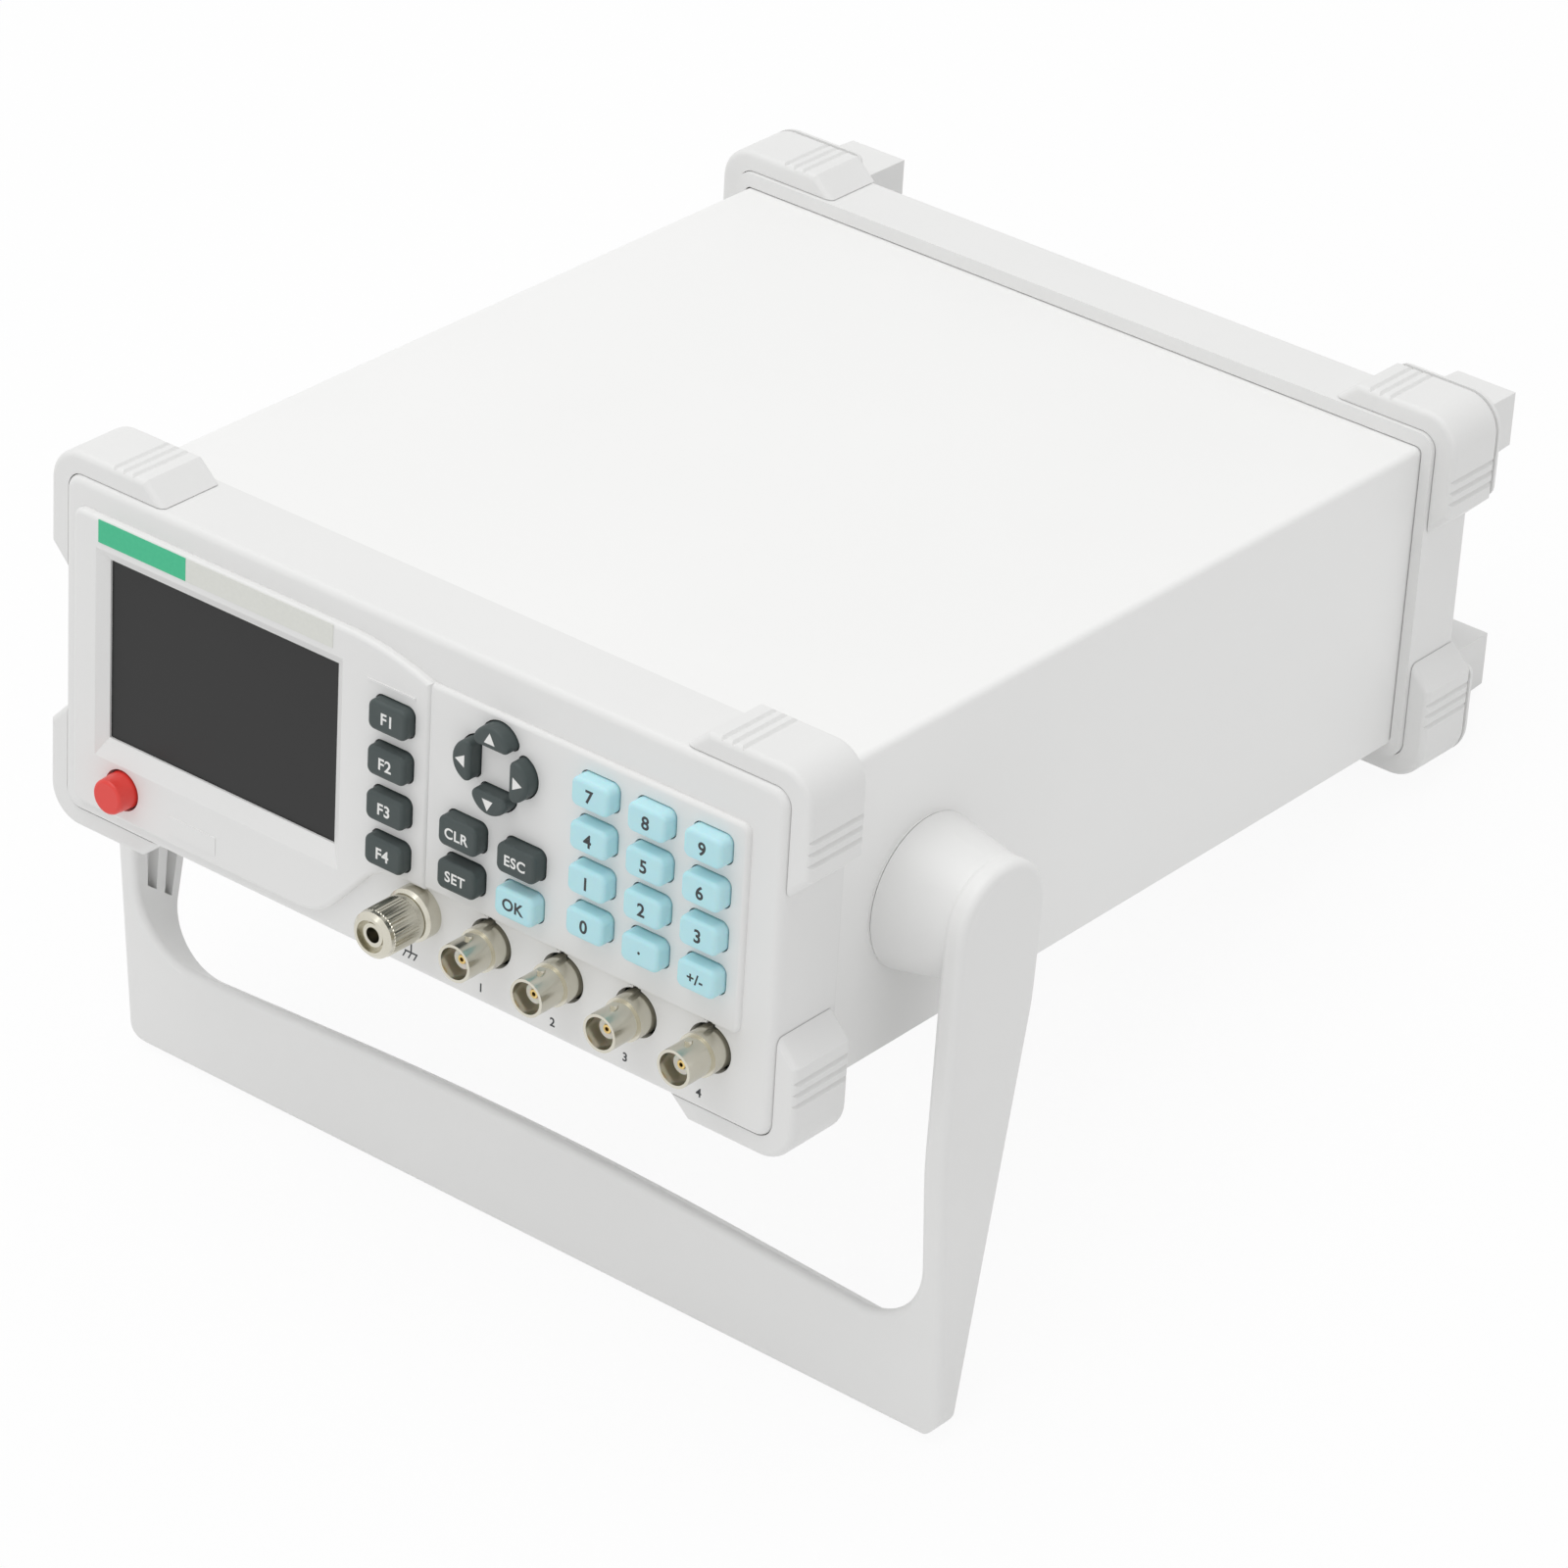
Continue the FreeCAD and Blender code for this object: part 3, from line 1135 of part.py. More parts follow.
def board_standoffs():
    posts = []
    for x, y, z in standoff_places():
        posts.append(Part.makeCylinder(STANDOFF_RADIUS, STANDOFF_HEIGHT, Vector(x, y, z)))
    return Part.makeCompound(posts)


def bare_board(name):
    x0, x1, y0, y1 = board_boxes()[name]
    low = TRAY_FLOOR + STANDOFF_HEIGHT
    board = block(x0, x1, y0, y1, low, low + BOARD_THICK)
    holes = [Part.makeCylinder(SCREW_RADIUS + SCREW_CLEAR, BOARD_THICK, Vector(x, y, low))
             for x, y in board_holes(name)]
    return board.cut(holes)


def main_board():
    x0, x1, y0, y1 = board_boxes()["main"]
    top = TRAY_FLOOR + STANDOFF_HEIGHT + BOARD_THICK
    pieces = [bare_board("main")]
    width = MAIN_BOARD_WIDTH
    length = MAIN_BOARD_LENGTH
    for across, along, share in CHIP_SHARES:
        x = x0 + across * width
        y = y0 + along * length
        half = share * length
        pieces.append(block(x - half, x + half, y - half, y + half, top, top + CHIP_HEIGHT))
    return joined(pieces)


def power_board():
    x0, x1, y0, y1 = board_boxes()["power"]
    top = TRAY_FLOOR + STANDOFF_HEIGHT + BOARD_THICK
    pieces = [bare_board("power")]
    for i in range(CAPACITOR_COUNT):
        x = x0 + (i + 1) * POWER_BOARD_WIDTH / (CAPACITOR_COUNT + 1)
        y = (y0 + y1) / 2
        pieces.append(Part.makeCylinder(CAPACITOR_RADIUS, CAPACITOR_HEIGHT, Vector(x, y, top)))
    return joined(pieces)


def transformer():
    x0, x1, y0, y1 = board_boxes()["power"]
    y = (y0 + y1) / 2
    half = CORE_WIDTH / 2
    core = block(CORE_X - half, CORE_X + half, y - CORE_LENGTH / 2, y + CORE_LENGTH / 2, TRAY_FLOOR,
                 TRAY_FLOOR + CORE_HEIGHT)
    reach = CORE_LENGTH / 2 + COIL_SWELL
    coil = block(CORE_X - half / 2, CORE_X + half / 2, y - reach, y + reach, TRAY_FLOOR + COIL_DROP,
                 TRAY_FLOOR + CORE_HEIGHT - COIL_DROP)
    coil = coil.makeFillet(COIL_ROUND, edges_where(coil, lambda box: box.ZLength > SAME))
    return joined([core, coil])


# Rear connectors


def socket_outline(grow):
    """Six-sided outline of the mains socket, two upper corners cut off."""
    w = SOCKET_WIDTH / 2 + grow
    h = SOCKET_HEIGHT / 2 + grow
    cut = SOCKET_CHAMFER
    points = [(-w, -h), (w, -h), (w, h - cut), (w - cut, h), (cut - w, h), (-w, h - cut)]
    return [(INLET_X + x, SOCKET_Z + z, 0.0) for x, z in points]


def inlet_back():
    return LIP_FRONT - INLET_BODY


def mains_inlet():
    face = LIP_FRONT + INLET_FLANGE
    flange = slab(INLET_X, INLET_Z, INLET_WIDTH + 2 * INLET_EAR, INLET_HEIGHT, LIP_FRONT, face, INLET_CORNER)
    body = slab(INLET_X, INLET_Z, INLET_WIDTH, INLET_HEIGHT, inlet_back(), LIP_FRONT)
    cavity = prism(socket_outline(0), face - SOCKET_DEPTH, face)
    grow = 2 * DRAWER_GAP
    tunnel_depth = DRAWER_DEPTH + DRAWER_GAP
    tunnel = slab(INLET_X, DRAWER_Z, DRAWER_WIDTH + grow, DRAWER_HEIGHT + grow, face - tunnel_depth, face)
    cuts = [cavity, tunnel]
    for x, z in pin_places():
        cuts.append(slab(x, z, PIN_WIDTH, PIN_HEIGHT, face - SOCKET_DEPTH - PIN_ROOT, face))
    return joined([flange, body]).cut(cuts)


def pin_places():
    outer = PIN_PITCH / 2
    return [(INLET_X - outer, SOCKET_Z - PIN_STEP / 2), (INLET_X + outer, SOCKET_Z - PIN_STEP / 2),
            (INLET_X, SOCKET_Z + PIN_STEP / 2)]


def inlet_pins():
    floor = LIP_FRONT + INLET_FLANGE - SOCKET_DEPTH
    return Part.makeCompound([
        slab(x, z, PIN_WIDTH, PIN_HEIGHT, floor - PIN_ROOT, floor + PIN_LENGTH) for x, z in pin_places()])


def fuse_drawer():
    face = LIP_FRONT + INLET_FLANGE
    front = face - DRAWER_DEPTH
    body = slab(INLET_X, DRAWER_Z, DRAWER_WIDTH, DRAWER_HEIGHT, front, face + DRAWER_GAP)
    cover = slab(INLET_X, DRAWER_Z, DRAWER_WIDTH + 2 * DRAWER_LIP, DRAWER_HEIGHT + 2 * DRAWER_LIP,
                 face + DRAWER_GAP, face + DRAWER_GAP + DRAWER_FACE, DRAWER_LIP)
    well = block(INLET_X - FUSE_LENGTH / 2 - FIT_GAP, INLET_X + FUSE_LENGTH / 2 + FIT_GAP,
                 front + DRAWER_WALL, face - DRAWER_WALL, DRAWER_Z - DRAWER_HEIGHT / 2 + DRAWER_WALL,
                 DRAWER_Z + DRAWER_HEIGHT / 2)
    return joined([body, cover]).cut(well)


def fuse():
    y = LIP_FRONT + INLET_FLANGE - DRAWER_DEPTH / 2
    z = DRAWER_Z - DRAWER_HEIGHT / 2 + DRAWER_WALL + FUSE_RADIUS + FIT_GAP
    start = Vector(INLET_X - FUSE_LENGTH / 2, y, z)
    return Part.makeCylinder(FUSE_RADIUS, FUSE_LENGTH, start, Vector(1, 0, 0))


def serial_port():
    face = LIP_FRONT + PORT_FLANGE
    flange = slab(PORT_X, PORT_Z, PORT_WIDTH, PORT_HEIGHT, LIP_FRONT, face, PORT_CORNER)
    body = slab(PORT_X, PORT_Z, PORT_SHELL_WIDTH, PORT_SHELL_HEIGHT, LIP_FRONT - PORT_BODY, LIP_FRONT)
    w = PORT_SHELL_WIDTH / 2
    h = PORT_SHELL_HEIGHT / 2
    slope = PORT_CORNER / 2
    corners = [(PORT_X - w + slope, PORT_Z - h, PORT_CORNER), (PORT_X + w - slope, PORT_Z - h, PORT_CORNER),
               (PORT_X + w, PORT_Z + h, PORT_CORNER), (PORT_X - w, PORT_Z + h, PORT_CORNER)]
    shell = prism(corners, face, face + PORT_SHELL)
    posts = [hexagon(PORT_X + side * PORT_POST_PITCH / 2, PORT_Z, PORT_POST_FLATS, face, face + PORT_POST)
             for side in (-1, 1)]
    return joined([flange, body, shell] + posts)


# The whole part, tilted onto its handle and its rear bumpers


def all_pieces():
    pieces = {name: key(*place) for name, place in key_places().items()}
    for make in (front_bezel, screen_window, lcd_module, front_board, tact_switches, power_button,
                 power_switch, board_screws, bnc_shells, bnc_insulators, bnc_contacts, terminal_plate,
                 terminal_nuts, ground_post_stud, ground_post_washer, ground_post_nut, top_cover,
                 bottom_tray, rear_bezel, rear_panel, case_screws, front_bumpers, rear_bumpers,
                 carry_handle, hub_cores, hub_washers, hub_bolts, board_standoffs, main_board,
                 power_board, transformer, mains_inlet, inlet_pins, fuse_drawer, fuse, serial_port):
        pieces[make.__name__] = make()
    return pieces


def lowest(piece, tilt):
    turn = FreeCAD.Matrix()
    turn.rotateX(-tilt)
    return piece.transformed(turn).optimalBoundingBox(False, False).ZMin


def stand_tilt(pieces):
    """Angle at which the handle and the rear bumpers reach equally far down."""
    low = 0.0
    high = math.pi / 4
    while high - low > TILT_STEP:
        tilt = (low + high) / 2
        if lowest(pieces["carry_handle"], tilt) < lowest(pieces["rear_bumpers"], tilt):
            low = tilt
        else:
            high = tilt
    return low


def standing_matrix(pieces):
    """Turns the level part onto its handle, and puts the origin under the middle of its box."""
    turn = FreeCAD.Matrix()
    turn.rotateX(-stand_tilt(pieces))
    reach = FreeCAD.BoundBox()
    for piece in pieces.values():
        reach.add(piece.transformed(turn).optimalBoundingBox(False, False))
    place = FreeCAD.Matrix()
    place.move(Vector(0, -(reach.YMin + reach.YMax) / 2, -reach.ZMin))
    return place.multiply(turn)


def main():
    os.makedirs("parts", exist_ok=True)
    pieces = all_pieces()
    matrix = standing_matrix(pieces)
    for name, piece in pieces.items():
        piece.transformed(matrix, True).exportStep(f"parts/{name}.step")
    tilt = math.degrees(math.asin(matrix.A23))
    print(f"{len(pieces)} pieces, tilt {tilt:.3f} degrees, moved by {matrix.A24:.3f}, {matrix.A34:.3f}")


if __name__ == "__main__":
    main()
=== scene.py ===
# %% [markdown]
# # A bench component tester on its carry handle
#
# The meter is a white moulded case with a painted sheet cover. It stands tilted on its swung-down handle.
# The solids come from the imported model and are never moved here. This lesson gives each of them a finish,
# adds the printed marks and the label, and sets the camera and the light.

import json
import math

import bmesh
import bpy
from mathutils import Matrix, Vector


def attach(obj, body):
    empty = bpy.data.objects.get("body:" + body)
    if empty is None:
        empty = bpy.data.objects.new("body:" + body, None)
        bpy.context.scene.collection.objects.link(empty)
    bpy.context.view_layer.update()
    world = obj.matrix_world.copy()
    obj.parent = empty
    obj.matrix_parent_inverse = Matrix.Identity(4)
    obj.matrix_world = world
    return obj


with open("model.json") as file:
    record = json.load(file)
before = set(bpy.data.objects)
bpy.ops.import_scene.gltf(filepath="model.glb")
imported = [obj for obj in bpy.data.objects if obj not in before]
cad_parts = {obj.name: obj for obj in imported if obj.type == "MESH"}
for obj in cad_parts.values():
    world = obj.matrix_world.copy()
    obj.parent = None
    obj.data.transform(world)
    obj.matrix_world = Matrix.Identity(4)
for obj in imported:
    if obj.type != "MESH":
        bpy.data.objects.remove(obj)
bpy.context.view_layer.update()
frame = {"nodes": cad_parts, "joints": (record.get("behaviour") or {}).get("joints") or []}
nodes = frame["nodes"]
bpy.context.scene.view_settings.view_transform = "Standard"
print("pieces of the packed model:", len(nodes))

# %% [markdown]
# ## The meter's own level frame
#
# Everything printed on the front is easiest to place while the meter is level: X to the right, Y to the back,
# Z up, in millimetres. The handle tilts it, so one matrix turns a level point into a point of the scene. The
# tilt is read from a key's press direction, and the shift from the handle's hinge, so it follows the model.

# %% From level millimetres to the scene
MM = 0.001
HUB_LEVEL = Vector((0, 57.5, 47.2)) * MM
joints = {joint["name"]: joint for joint in frame["joints"]}
press = Vector(joints["key_5_press"]["axis"])
tilt = math.atan2(-press.z, press.y)
turn = Matrix.Rotation(-tilt, 4, "X")
shift = Vector(joints["handle_swing"]["pos_m"]) - turn @ HUB_LEVEL
STANDING = Matrix.Translation(shift) @ turn
LEVEL = STANDING.inverted()
print("tilt in degrees:", round(math.degrees(tilt), 3), "shift in mm:", [round(v / MM, 2) for v in shift])


# A point this near to the foremost one lies on the same flat face.
FLAT_WITHIN = 0.05 * MM


def front_face(node):
    """Middle of a node's foremost flat face, in level metres."""
    points = [LEVEL @ vertex.co for vertex in nodes[node].data.vertices]
    front = min(point.y for point in points)
    face = [point for point in points if point.y < front + FLAT_WITHIN]
    left, right = min(p.x for p in face), max(p.x for p in face)
    low, high = min(p.z for p in face), max(p.z for p in face)
    return Vector(((left + right) / 2, front, (low + high) / 2))


# %% [markdown]
# ## How the finishes are made
#
# A moulded or plated surface is never one flat colour. Each finish below starts from what the real material is
# and adds the small things the eye reads: grain, a slow change of gloss, turning lines. Colours are written as
# sRGB hex values. Texture coordinates are the object's own, in metres, so a pattern's scale is one over its
# real size.

# %% Helpers for the finishes
def colour(hex_value):
    """Linear colour of an sRGB hex value."""
    parts = [int(hex_value[i : i + 2], 16) / 255 for i in (1, 3, 5)]
    return (*[c / 12.92 if c <= 0.04045 else ((c + 0.055) / 1.055) ** 2.4 for c in parts], 1.0)


def per_mm(size):
    """Texture scale that gives a pattern of that size in millimetres."""
    return 1.0 / (size * MM)


def add(tree, kind, values=None, links=None, **settings):
    """Adds a node: its settings, the values of its sockets, and what is linked into them."""
    made = tree.nodes.new(kind)
    for name, value in settings.items():
        setattr(made, name, value)
    for socket, value in (values or {}).items():
        made.inputs[socket].default_value = value
    for socket, source in (links or {}).items():
        tree.links.new(source, made.inputs[socket])
    return made


def start(name, **values):
    """A new material, its tree, its shader with constant values, and object coordinates."""
    made = bpy.data.materials.new(name)
    made.use_nodes = True
    tree = made.node_tree
    shader = tree.nodes["Principled BSDF"]
    for socket, value in values.items():
        shader.inputs[socket.replace("_", " ")].default_value = value
    where = add(tree, "ShaderNodeTexCoord").outputs["Object"]
    return made, tree, shader, where


def feed(tree, shader, **sources):
    """Links what is given into the shader's sockets of those names."""
    for socket, source in sources.items():
        tree.links.new(source, shader.inputs[socket.replace("_", " ")])


dressed = set()


def wear(nodes_named, material):
    """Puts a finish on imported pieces."""
    for name in nodes_named:
        slots = nodes[name].data.materials
        slots.clear()
        slots.append(material)
    dressed.update(nodes_named)
    print(material.name, "on", len(nodes_named), "pieces")


print("a middle grey of #808080 in linear light:", round(colour("#808080")[0], 3))

# %% [markdown]
# ## Moulded ABS
#
# Bezels, bumpers and handle are injection-moulded ABS. The mould is spark-eroded, which leaves a fine satin
# grain of about a third of a millimetre. Seen from here that grain only softens the gloss, so it is drawn at
# 0.6 mm to show at all. A slow drift in tone and gloss, some centimetres wide, is the flow of the melt.

# %% Satin ABS
def satin_abs(name, hex_value, shade, grain_mm=0.6, low=0.40, high=0.52):
    """ABS between two tones, with a grain in mm and a roughness between low and high."""
    made, tree, shader, where = start(name, IOR=1.53)
    grain = add(tree, "ShaderNodeTexNoise", {"Scale": per_mm(grain_mm), "Detail": 2.0}, {"Vector": where})
    flow = add(tree, "ShaderNodeTexNoise", {"Scale": per_mm(45), "Detail": 3.0}, {"Vector": where})
    tone = add(tree, "ShaderNodeMix", {"A": colour(hex_value), "B": colour(shade)},
               {"Factor": flow.outputs["Fac"]}, data_type="RGBA")
    gloss = add(tree, "ShaderNodeMapRange", {"To Min": low, "To Max": high}, {"Value": flow.outputs["Fac"]})
    bump = add(tree, "ShaderNodeBump", {"Strength": 0.16, "Distance": 0.05 * MM},
               {"Height": grain.outputs["Fac"]})
    feed(tree, shader, Base_Color=tone.outputs["Result"], Roughness=gloss.outputs["Result"],
         Normal=bump.outputs["Normal"])
    return made


shell_abs = satin_abs("moulded_abs_shell", "#ececeb", "#e8e8e7")
bumper_abs = satin_abs("moulded_abs_bumper", "#ebebea", "#e7e7e6", low=0.46, high=0.58)
handle_abs = satin_abs("moulded_abs_handle", "#eeeeed", "#eaeae9", low=0.44, high=0.55)
red_abs = satin_abs("moulded_abs_red", "#ea443c", "#e23a33", grain_mm=0.5, low=0.32, high=0.42)
black_abs = satin_abs("moulded_nylon_black", "#1d1e20", "#242528", grain_mm=0.5)
wear(["front_bezel", "rear_bezel"], shell_abs)
wear(["front_bumpers", "rear_bumpers"], bumper_abs)
wear(["carry_handle", "hub_washers"], handle_abs)
wear(["power_button"], red_abs)
wear(["mains_inlet", "fuse_drawer", "power_switch", "tact_switches", "lcd_module"], black_abs)

# %% [markdown]
# ## Powder paint on sheet steel
#
# The cover, the tray and the rear panel are bent sheet, sprayed with white powder that melts in an oven. The
# melt leaves a shallow orange peel with waves about 1.5 mm long, smoother and a little brighter than the ABS.

# %% White powder coat
powder, tree, shader, where = start("powder_coat_white", IOR=1.5)
peel = add(tree, "ShaderNodeTexNoise", {"Scale": per_mm(1.5), "Detail": 1.0}, {"Vector": where})
drift = add(tree, "ShaderNodeTexNoise", {"Scale": per_mm(70), "Detail": 2.0}, {"Vector": where})
tone = add(tree, "ShaderNodeMix", {"A": colour("#f5f5f4"), "B": colour("#f2f2f1")},
           {"Factor": drift.outputs["Fac"]}, data_type="RGBA")
gloss = add(tree, "ShaderNodeMapRange", {"To Min": 0.40, "To Max": 0.50}, {"Value": drift.outputs["Fac"]})
wave = add(tree, "ShaderNodeBump", {"Strength": 0.10, "Distance": 0.06 * MM}, {"Height": peel.outputs["Fac"]})
feed(tree, shader, Base_Color=tone.outputs["Result"], Roughness=gloss.outputs["Result"],
     Normal=wave.outputs["Normal"])
wear(["top_cover", "bottom_tray", "rear_panel"], powder)

# %% [markdown]
# ## The dark screen
#
# The window is tinted acrylic over a screen that is off: an even charcoal grey with a hard, smooth face. Faint
# haze from wiping, a few centimetres wide, changes its gloss.

# %% Tinted acrylic
screen, tree, shader, where = start("tinted_acrylic", IOR=1.49, Specular_IOR_Level=0.3)
haze = add(tree, "ShaderNodeTexNoise", {"Scale": per_mm(30), "Detail": 4.0}, {"Vector": where})
gloss = add(tree, "ShaderNodeMapRange", {"To Min": 0.30, "To Max": 0.38}, {"Value": haze.outputs["Fac"]})
tone = add(tree, "ShaderNodeMix", {"A": colour("#262626"), "B": colour("#292929")},
           {"Factor": haze.outputs["Fac"]}, data_type="RGBA")
feed(tree, shader, Base_Color=tone.outputs["Result"], Roughness=gloss.outputs["Result"])
wear(["screen_window"], screen)

# %% [markdown]
# ## Silicone keys
#
# The keys are one sheet of moulded silicone rubber behind the panel, in slate grey and pale blue. Silicone is
# matt and a little waxy: light goes in and comes out again, which softens the pale keys' edges, so they get a
# thin layer of scattering. The skin has a grain of about 0.3 mm, drawn at 0.5 mm so that it shows.

# %% Slate and pale blue silicone
def silicone(name, hex_value, shade, scatter):
    """Waxy rubber between two tones, with a share of light that scatters below the skin."""
    made, tree, shader, where = start(name, IOR=1.43, Subsurface_Weight=scatter, Subsurface_Scale=0.6 * MM)
    skin = add(tree, "ShaderNodeTexNoise", {"Scale": per_mm(0.5), "Detail": 2.0}, {"Vector": where})
    cloud = add(tree, "ShaderNodeTexNoise", {"Scale": per_mm(6), "Detail": 2.0}, {"Vector": where})
    tone = add(tree, "ShaderNodeMix", {"A": colour(hex_value), "B": colour(shade)},
               {"Factor": cloud.outputs["Fac"]}, data_type="RGBA")
    gloss = add(tree, "ShaderNodeMapRange", {"To Min": 0.48, "To Max": 0.6}, {"Value": cloud.outputs["Fac"]})
    bump = add(tree, "ShaderNodeBump", {"Strength": 0.12, "Distance": 0.04 * MM},
               {"Height": skin.outputs["Fac"]})
    feed(tree, shader, Base_Color=tone.outputs["Result"], Roughness=gloss.outputs["Result"],
         Normal=bump.outputs["Normal"])
    return made


slate = silicone("silicone_slate", "#47504f", "#424b4b", 0.0)
pale_blue = silicone("silicone_pale_blue", "#c1ebf2", "#b9e7ef", 0.15)
DIGITS = [f"key_{digit}" for digit in range(10)]
BLUE_KEYS = DIGITS + ["key_dot", "key_sign", "key_enter"]
SLATE_KEYS = [name for name in nodes if name.startswith("key_") and name not in BLUE_KEYS]
wear(SLATE_KEYS, slate)
wear(BLUE_KEYS, pale_blue)

# %% [markdown]
# ## Turned and plated metal
#
# Jacks and post are turned brass with nickel plate: a warm grey metal with fine rings from the lathe. The rings
# run round each axis, so they are bands along the meter's depth, 0.35 mm apart. Contacts are gilt. Screws and
# nuts are zinc plated, which is greyer and cloudier.

# %% Nickel, gilt, brass and zinc
# The wave texture repeats twenty times in two pi units.
WAVE_UNIT = 2 * math.pi / 20


def turned_metal(name, hex_value, shade, low, high, ring_mm):
    """Metal between two tones, with lathe rings that far apart and a roughness between low and high."""
    made, tree, shader, where = start(name, Metallic=1.0)
    lie = add(tree, "ShaderNodeMapping", {"Rotation": (tilt, 0, 0)}, {"Vector": where})
    rings = add(tree, "ShaderNodeTexWave", {"Scale": per_mm(ring_mm) * WAVE_UNIT, "Distortion": 0.4},
                {"Vector": lie.outputs["Vector"]}, bands_direction="Y")
    cloud = add(tree, "ShaderNodeTexNoise", {"Scale": per_mm(4), "Detail": 3.0}, {"Vector": where})
    tone = add(tree, "ShaderNodeMix", {"A": colour(hex_value), "B": colour(shade)},
               {"Factor": cloud.outputs["Fac"]}, data_type="RGBA")
    gloss = add(tree, "ShaderNodeMapRange", {"To Min": low, "To Max": high}, {"Value": rings.outputs["Fac"]})
    bump = add(tree, "ShaderNodeBump", {"Strength": 0.10, "Distance": 0.02 * MM},
               {"Height": rings.outputs["Fac"]})
    feed(tree, shader, Base_Color=tone.outputs["Result"], Roughness=gloss.outputs["Result"],
         Normal=bump.outputs["Normal"])
    return made


nickel = turned_metal("nickel_plate_turned", "#d8d5c9", "#cbc7b8", 0.17, 0.27, 0.35)
gilt = turned_metal("gilt_contact", "#ecd08c", "#e2c27a", 0.22, 0.32, 0.35)
brass = turned_metal("brass_turned", "#cda755", "#c39c4b", 0.25, 0.38, 0.4)
zinc = turned_metal("zinc_plate", "#c4c8cc", "#b4b9be", 0.32, 0.46, 0.5)
wear(["bnc_shells", "ground_post_stud", "ground_post_washer", "ground_post_nut"], nickel)
wear(["bnc_contacts"], gilt)
wear(["board_standoffs"], brass)

# %% [markdown]
# ## The knob's knurl and the blend of the hubs
#
# The post's knob is knurled with straight ridges for the fingers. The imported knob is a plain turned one, so the
# ridges are a thin sleeve of their own that rides on the knob. The handle's hubs run into its arms without a
# step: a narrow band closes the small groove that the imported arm's rounded rim leaves there. Both are hoops:
# rings of points about an axis, each joined to the next and the last to the first, so they are closed all
# round. A circle spun by a modifier would do for the band, but not for ridges that fade at their ends.

# %% From points to a piece on its body
def as_object(made, name, material):
    """An object with one material from a bmesh, not yet in the scene."""
    mesh = bpy.data.meshes.new(name)
    made.to_mesh(mesh)
    made.free()
    mesh.materials.append(material)
    return bpy.data.objects.new(name, mesh)


def mount(piece, body):
    """Brings a piece into the scene, to ride on a body."""
    bpy.context.scene.collection.objects.link(piece)
    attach(piece, body)


def hoop(name, rings, material, body):
    """A closed band from rings of level points, riding on a body."""
    made = bmesh.new()
    rows = [[made.verts.new(STANDING @ point) for point in ring] for ring in rings]
    for first, second in zip(rows, rows[1:] + rows[:1]):
        for step in range(len(first)):
            after = (step + 1) % len(first)
            made.faces.new((first[step], first[after], second[after], second[step]))
    bmesh.ops.recalc_face_normals(made, faces=made.faces)
    mount(as_object(made, name, material), body)


# %% Straight knurl on the post's knob
KNURL_RIDGES = 44
KNURL_HEIGHT = 0.24 * MM
KNURL_SUNK = 0.02 * MM
KNURL_ROOT = 0.3 * MM
KNURL_FADE = 0.35 * MM
LAND_FRONT = 2.0 * MM
LAND_BACK = 1.0 * MM
knob = [LEVEL @ vertex.co for vertex in nodes["ground_post_nut"].data.vertices]
knob_x = (min(p.x for p in knob) + max(p.x for p in knob)) / 2
knob_z = (min(p.z for p in knob) + max(p.z for p in knob)) / 2
knob_radius = max(p.x for p in knob) - knob_x
knurl_front = min(p.y for p in knob) + LAND_FRONT
knurl_back = max(p.y for p in knob) - LAND_BACK
rings = []
for y, sunk, ridge in ((knurl_front, KNURL_ROOT, 0), (knurl_front, KNURL_SUNK, 0),
                       (knurl_front + KNURL_FADE, KNURL_SUNK, KNURL_HEIGHT),
                       (knurl_back - KNURL_FADE, KNURL_SUNK, KNURL_HEIGHT), (knurl_back, KNURL_SUNK, 0),
                       (knurl_back, KNURL_ROOT, 0)):
    ring = []
    for step in range(2 * KNURL_RIDGES):
        angle = math.pi * step / KNURL_RIDGES
        radius = knob_radius - sunk + ridge * (step % 2)
        ring.append(Vector((knob_x + radius * math.cos(angle), y, knob_z + radius * math.sin(angle))))
    rings.append(ring)
hoop("post_knurl", rings, nickel, "post_nut")
print("knurl ridges:", KNURL_RIDGES, "on a knob of", round(2 * knob_radius / MM, 1), "mm")

# %% Bands where the hubs run into the arms
ARM_INNER = 126.0
HUB_SEGMENTS = 160
# Each ring of the band: how far outward of the arm's inner face it lies, and its radius, in mm.
HUB_BAND = ((-0.9, 15.3), (-0.9, 16.0), (0.2, 15.9), (1.5, 15.96), (1.5, 15.3))
for name, side in (("hub_blend_left", -1), ("hub_blend_right", 1)):
    rings = []
    for reach, radius in HUB_BAND:
        ring = []
        for step in range(HUB_SEGMENTS):
            angle = 2 * math.pi * step / HUB_SEGMENTS
            ring.append(HUB_LEVEL + Vector((side * (ARM_INNER + reach), radius * math.cos(angle),
                                            radius * math.sin(angle))) * MM)
        rings.append(ring)
    hoop(name, rings, handle_abs, "handle")
print("hub bands: 2")

# %% [markdown]
# ## Inner pieces
#
# The insulators are PTFE, waxy white. Circuit boards are glass-epoxy under green lacquer, with copper tracks
# showing through as a faint pattern of right angles. The transformer is a stack of varnished steel sheets
# half a millimetre thick. The fuse is a glass tube.

# %% PTFE insulators
ptfe = silicone("ptfe_white", "#f1eee6", "#e9e5da", 0.2)
wear(["bnc_insulators"], ptfe)

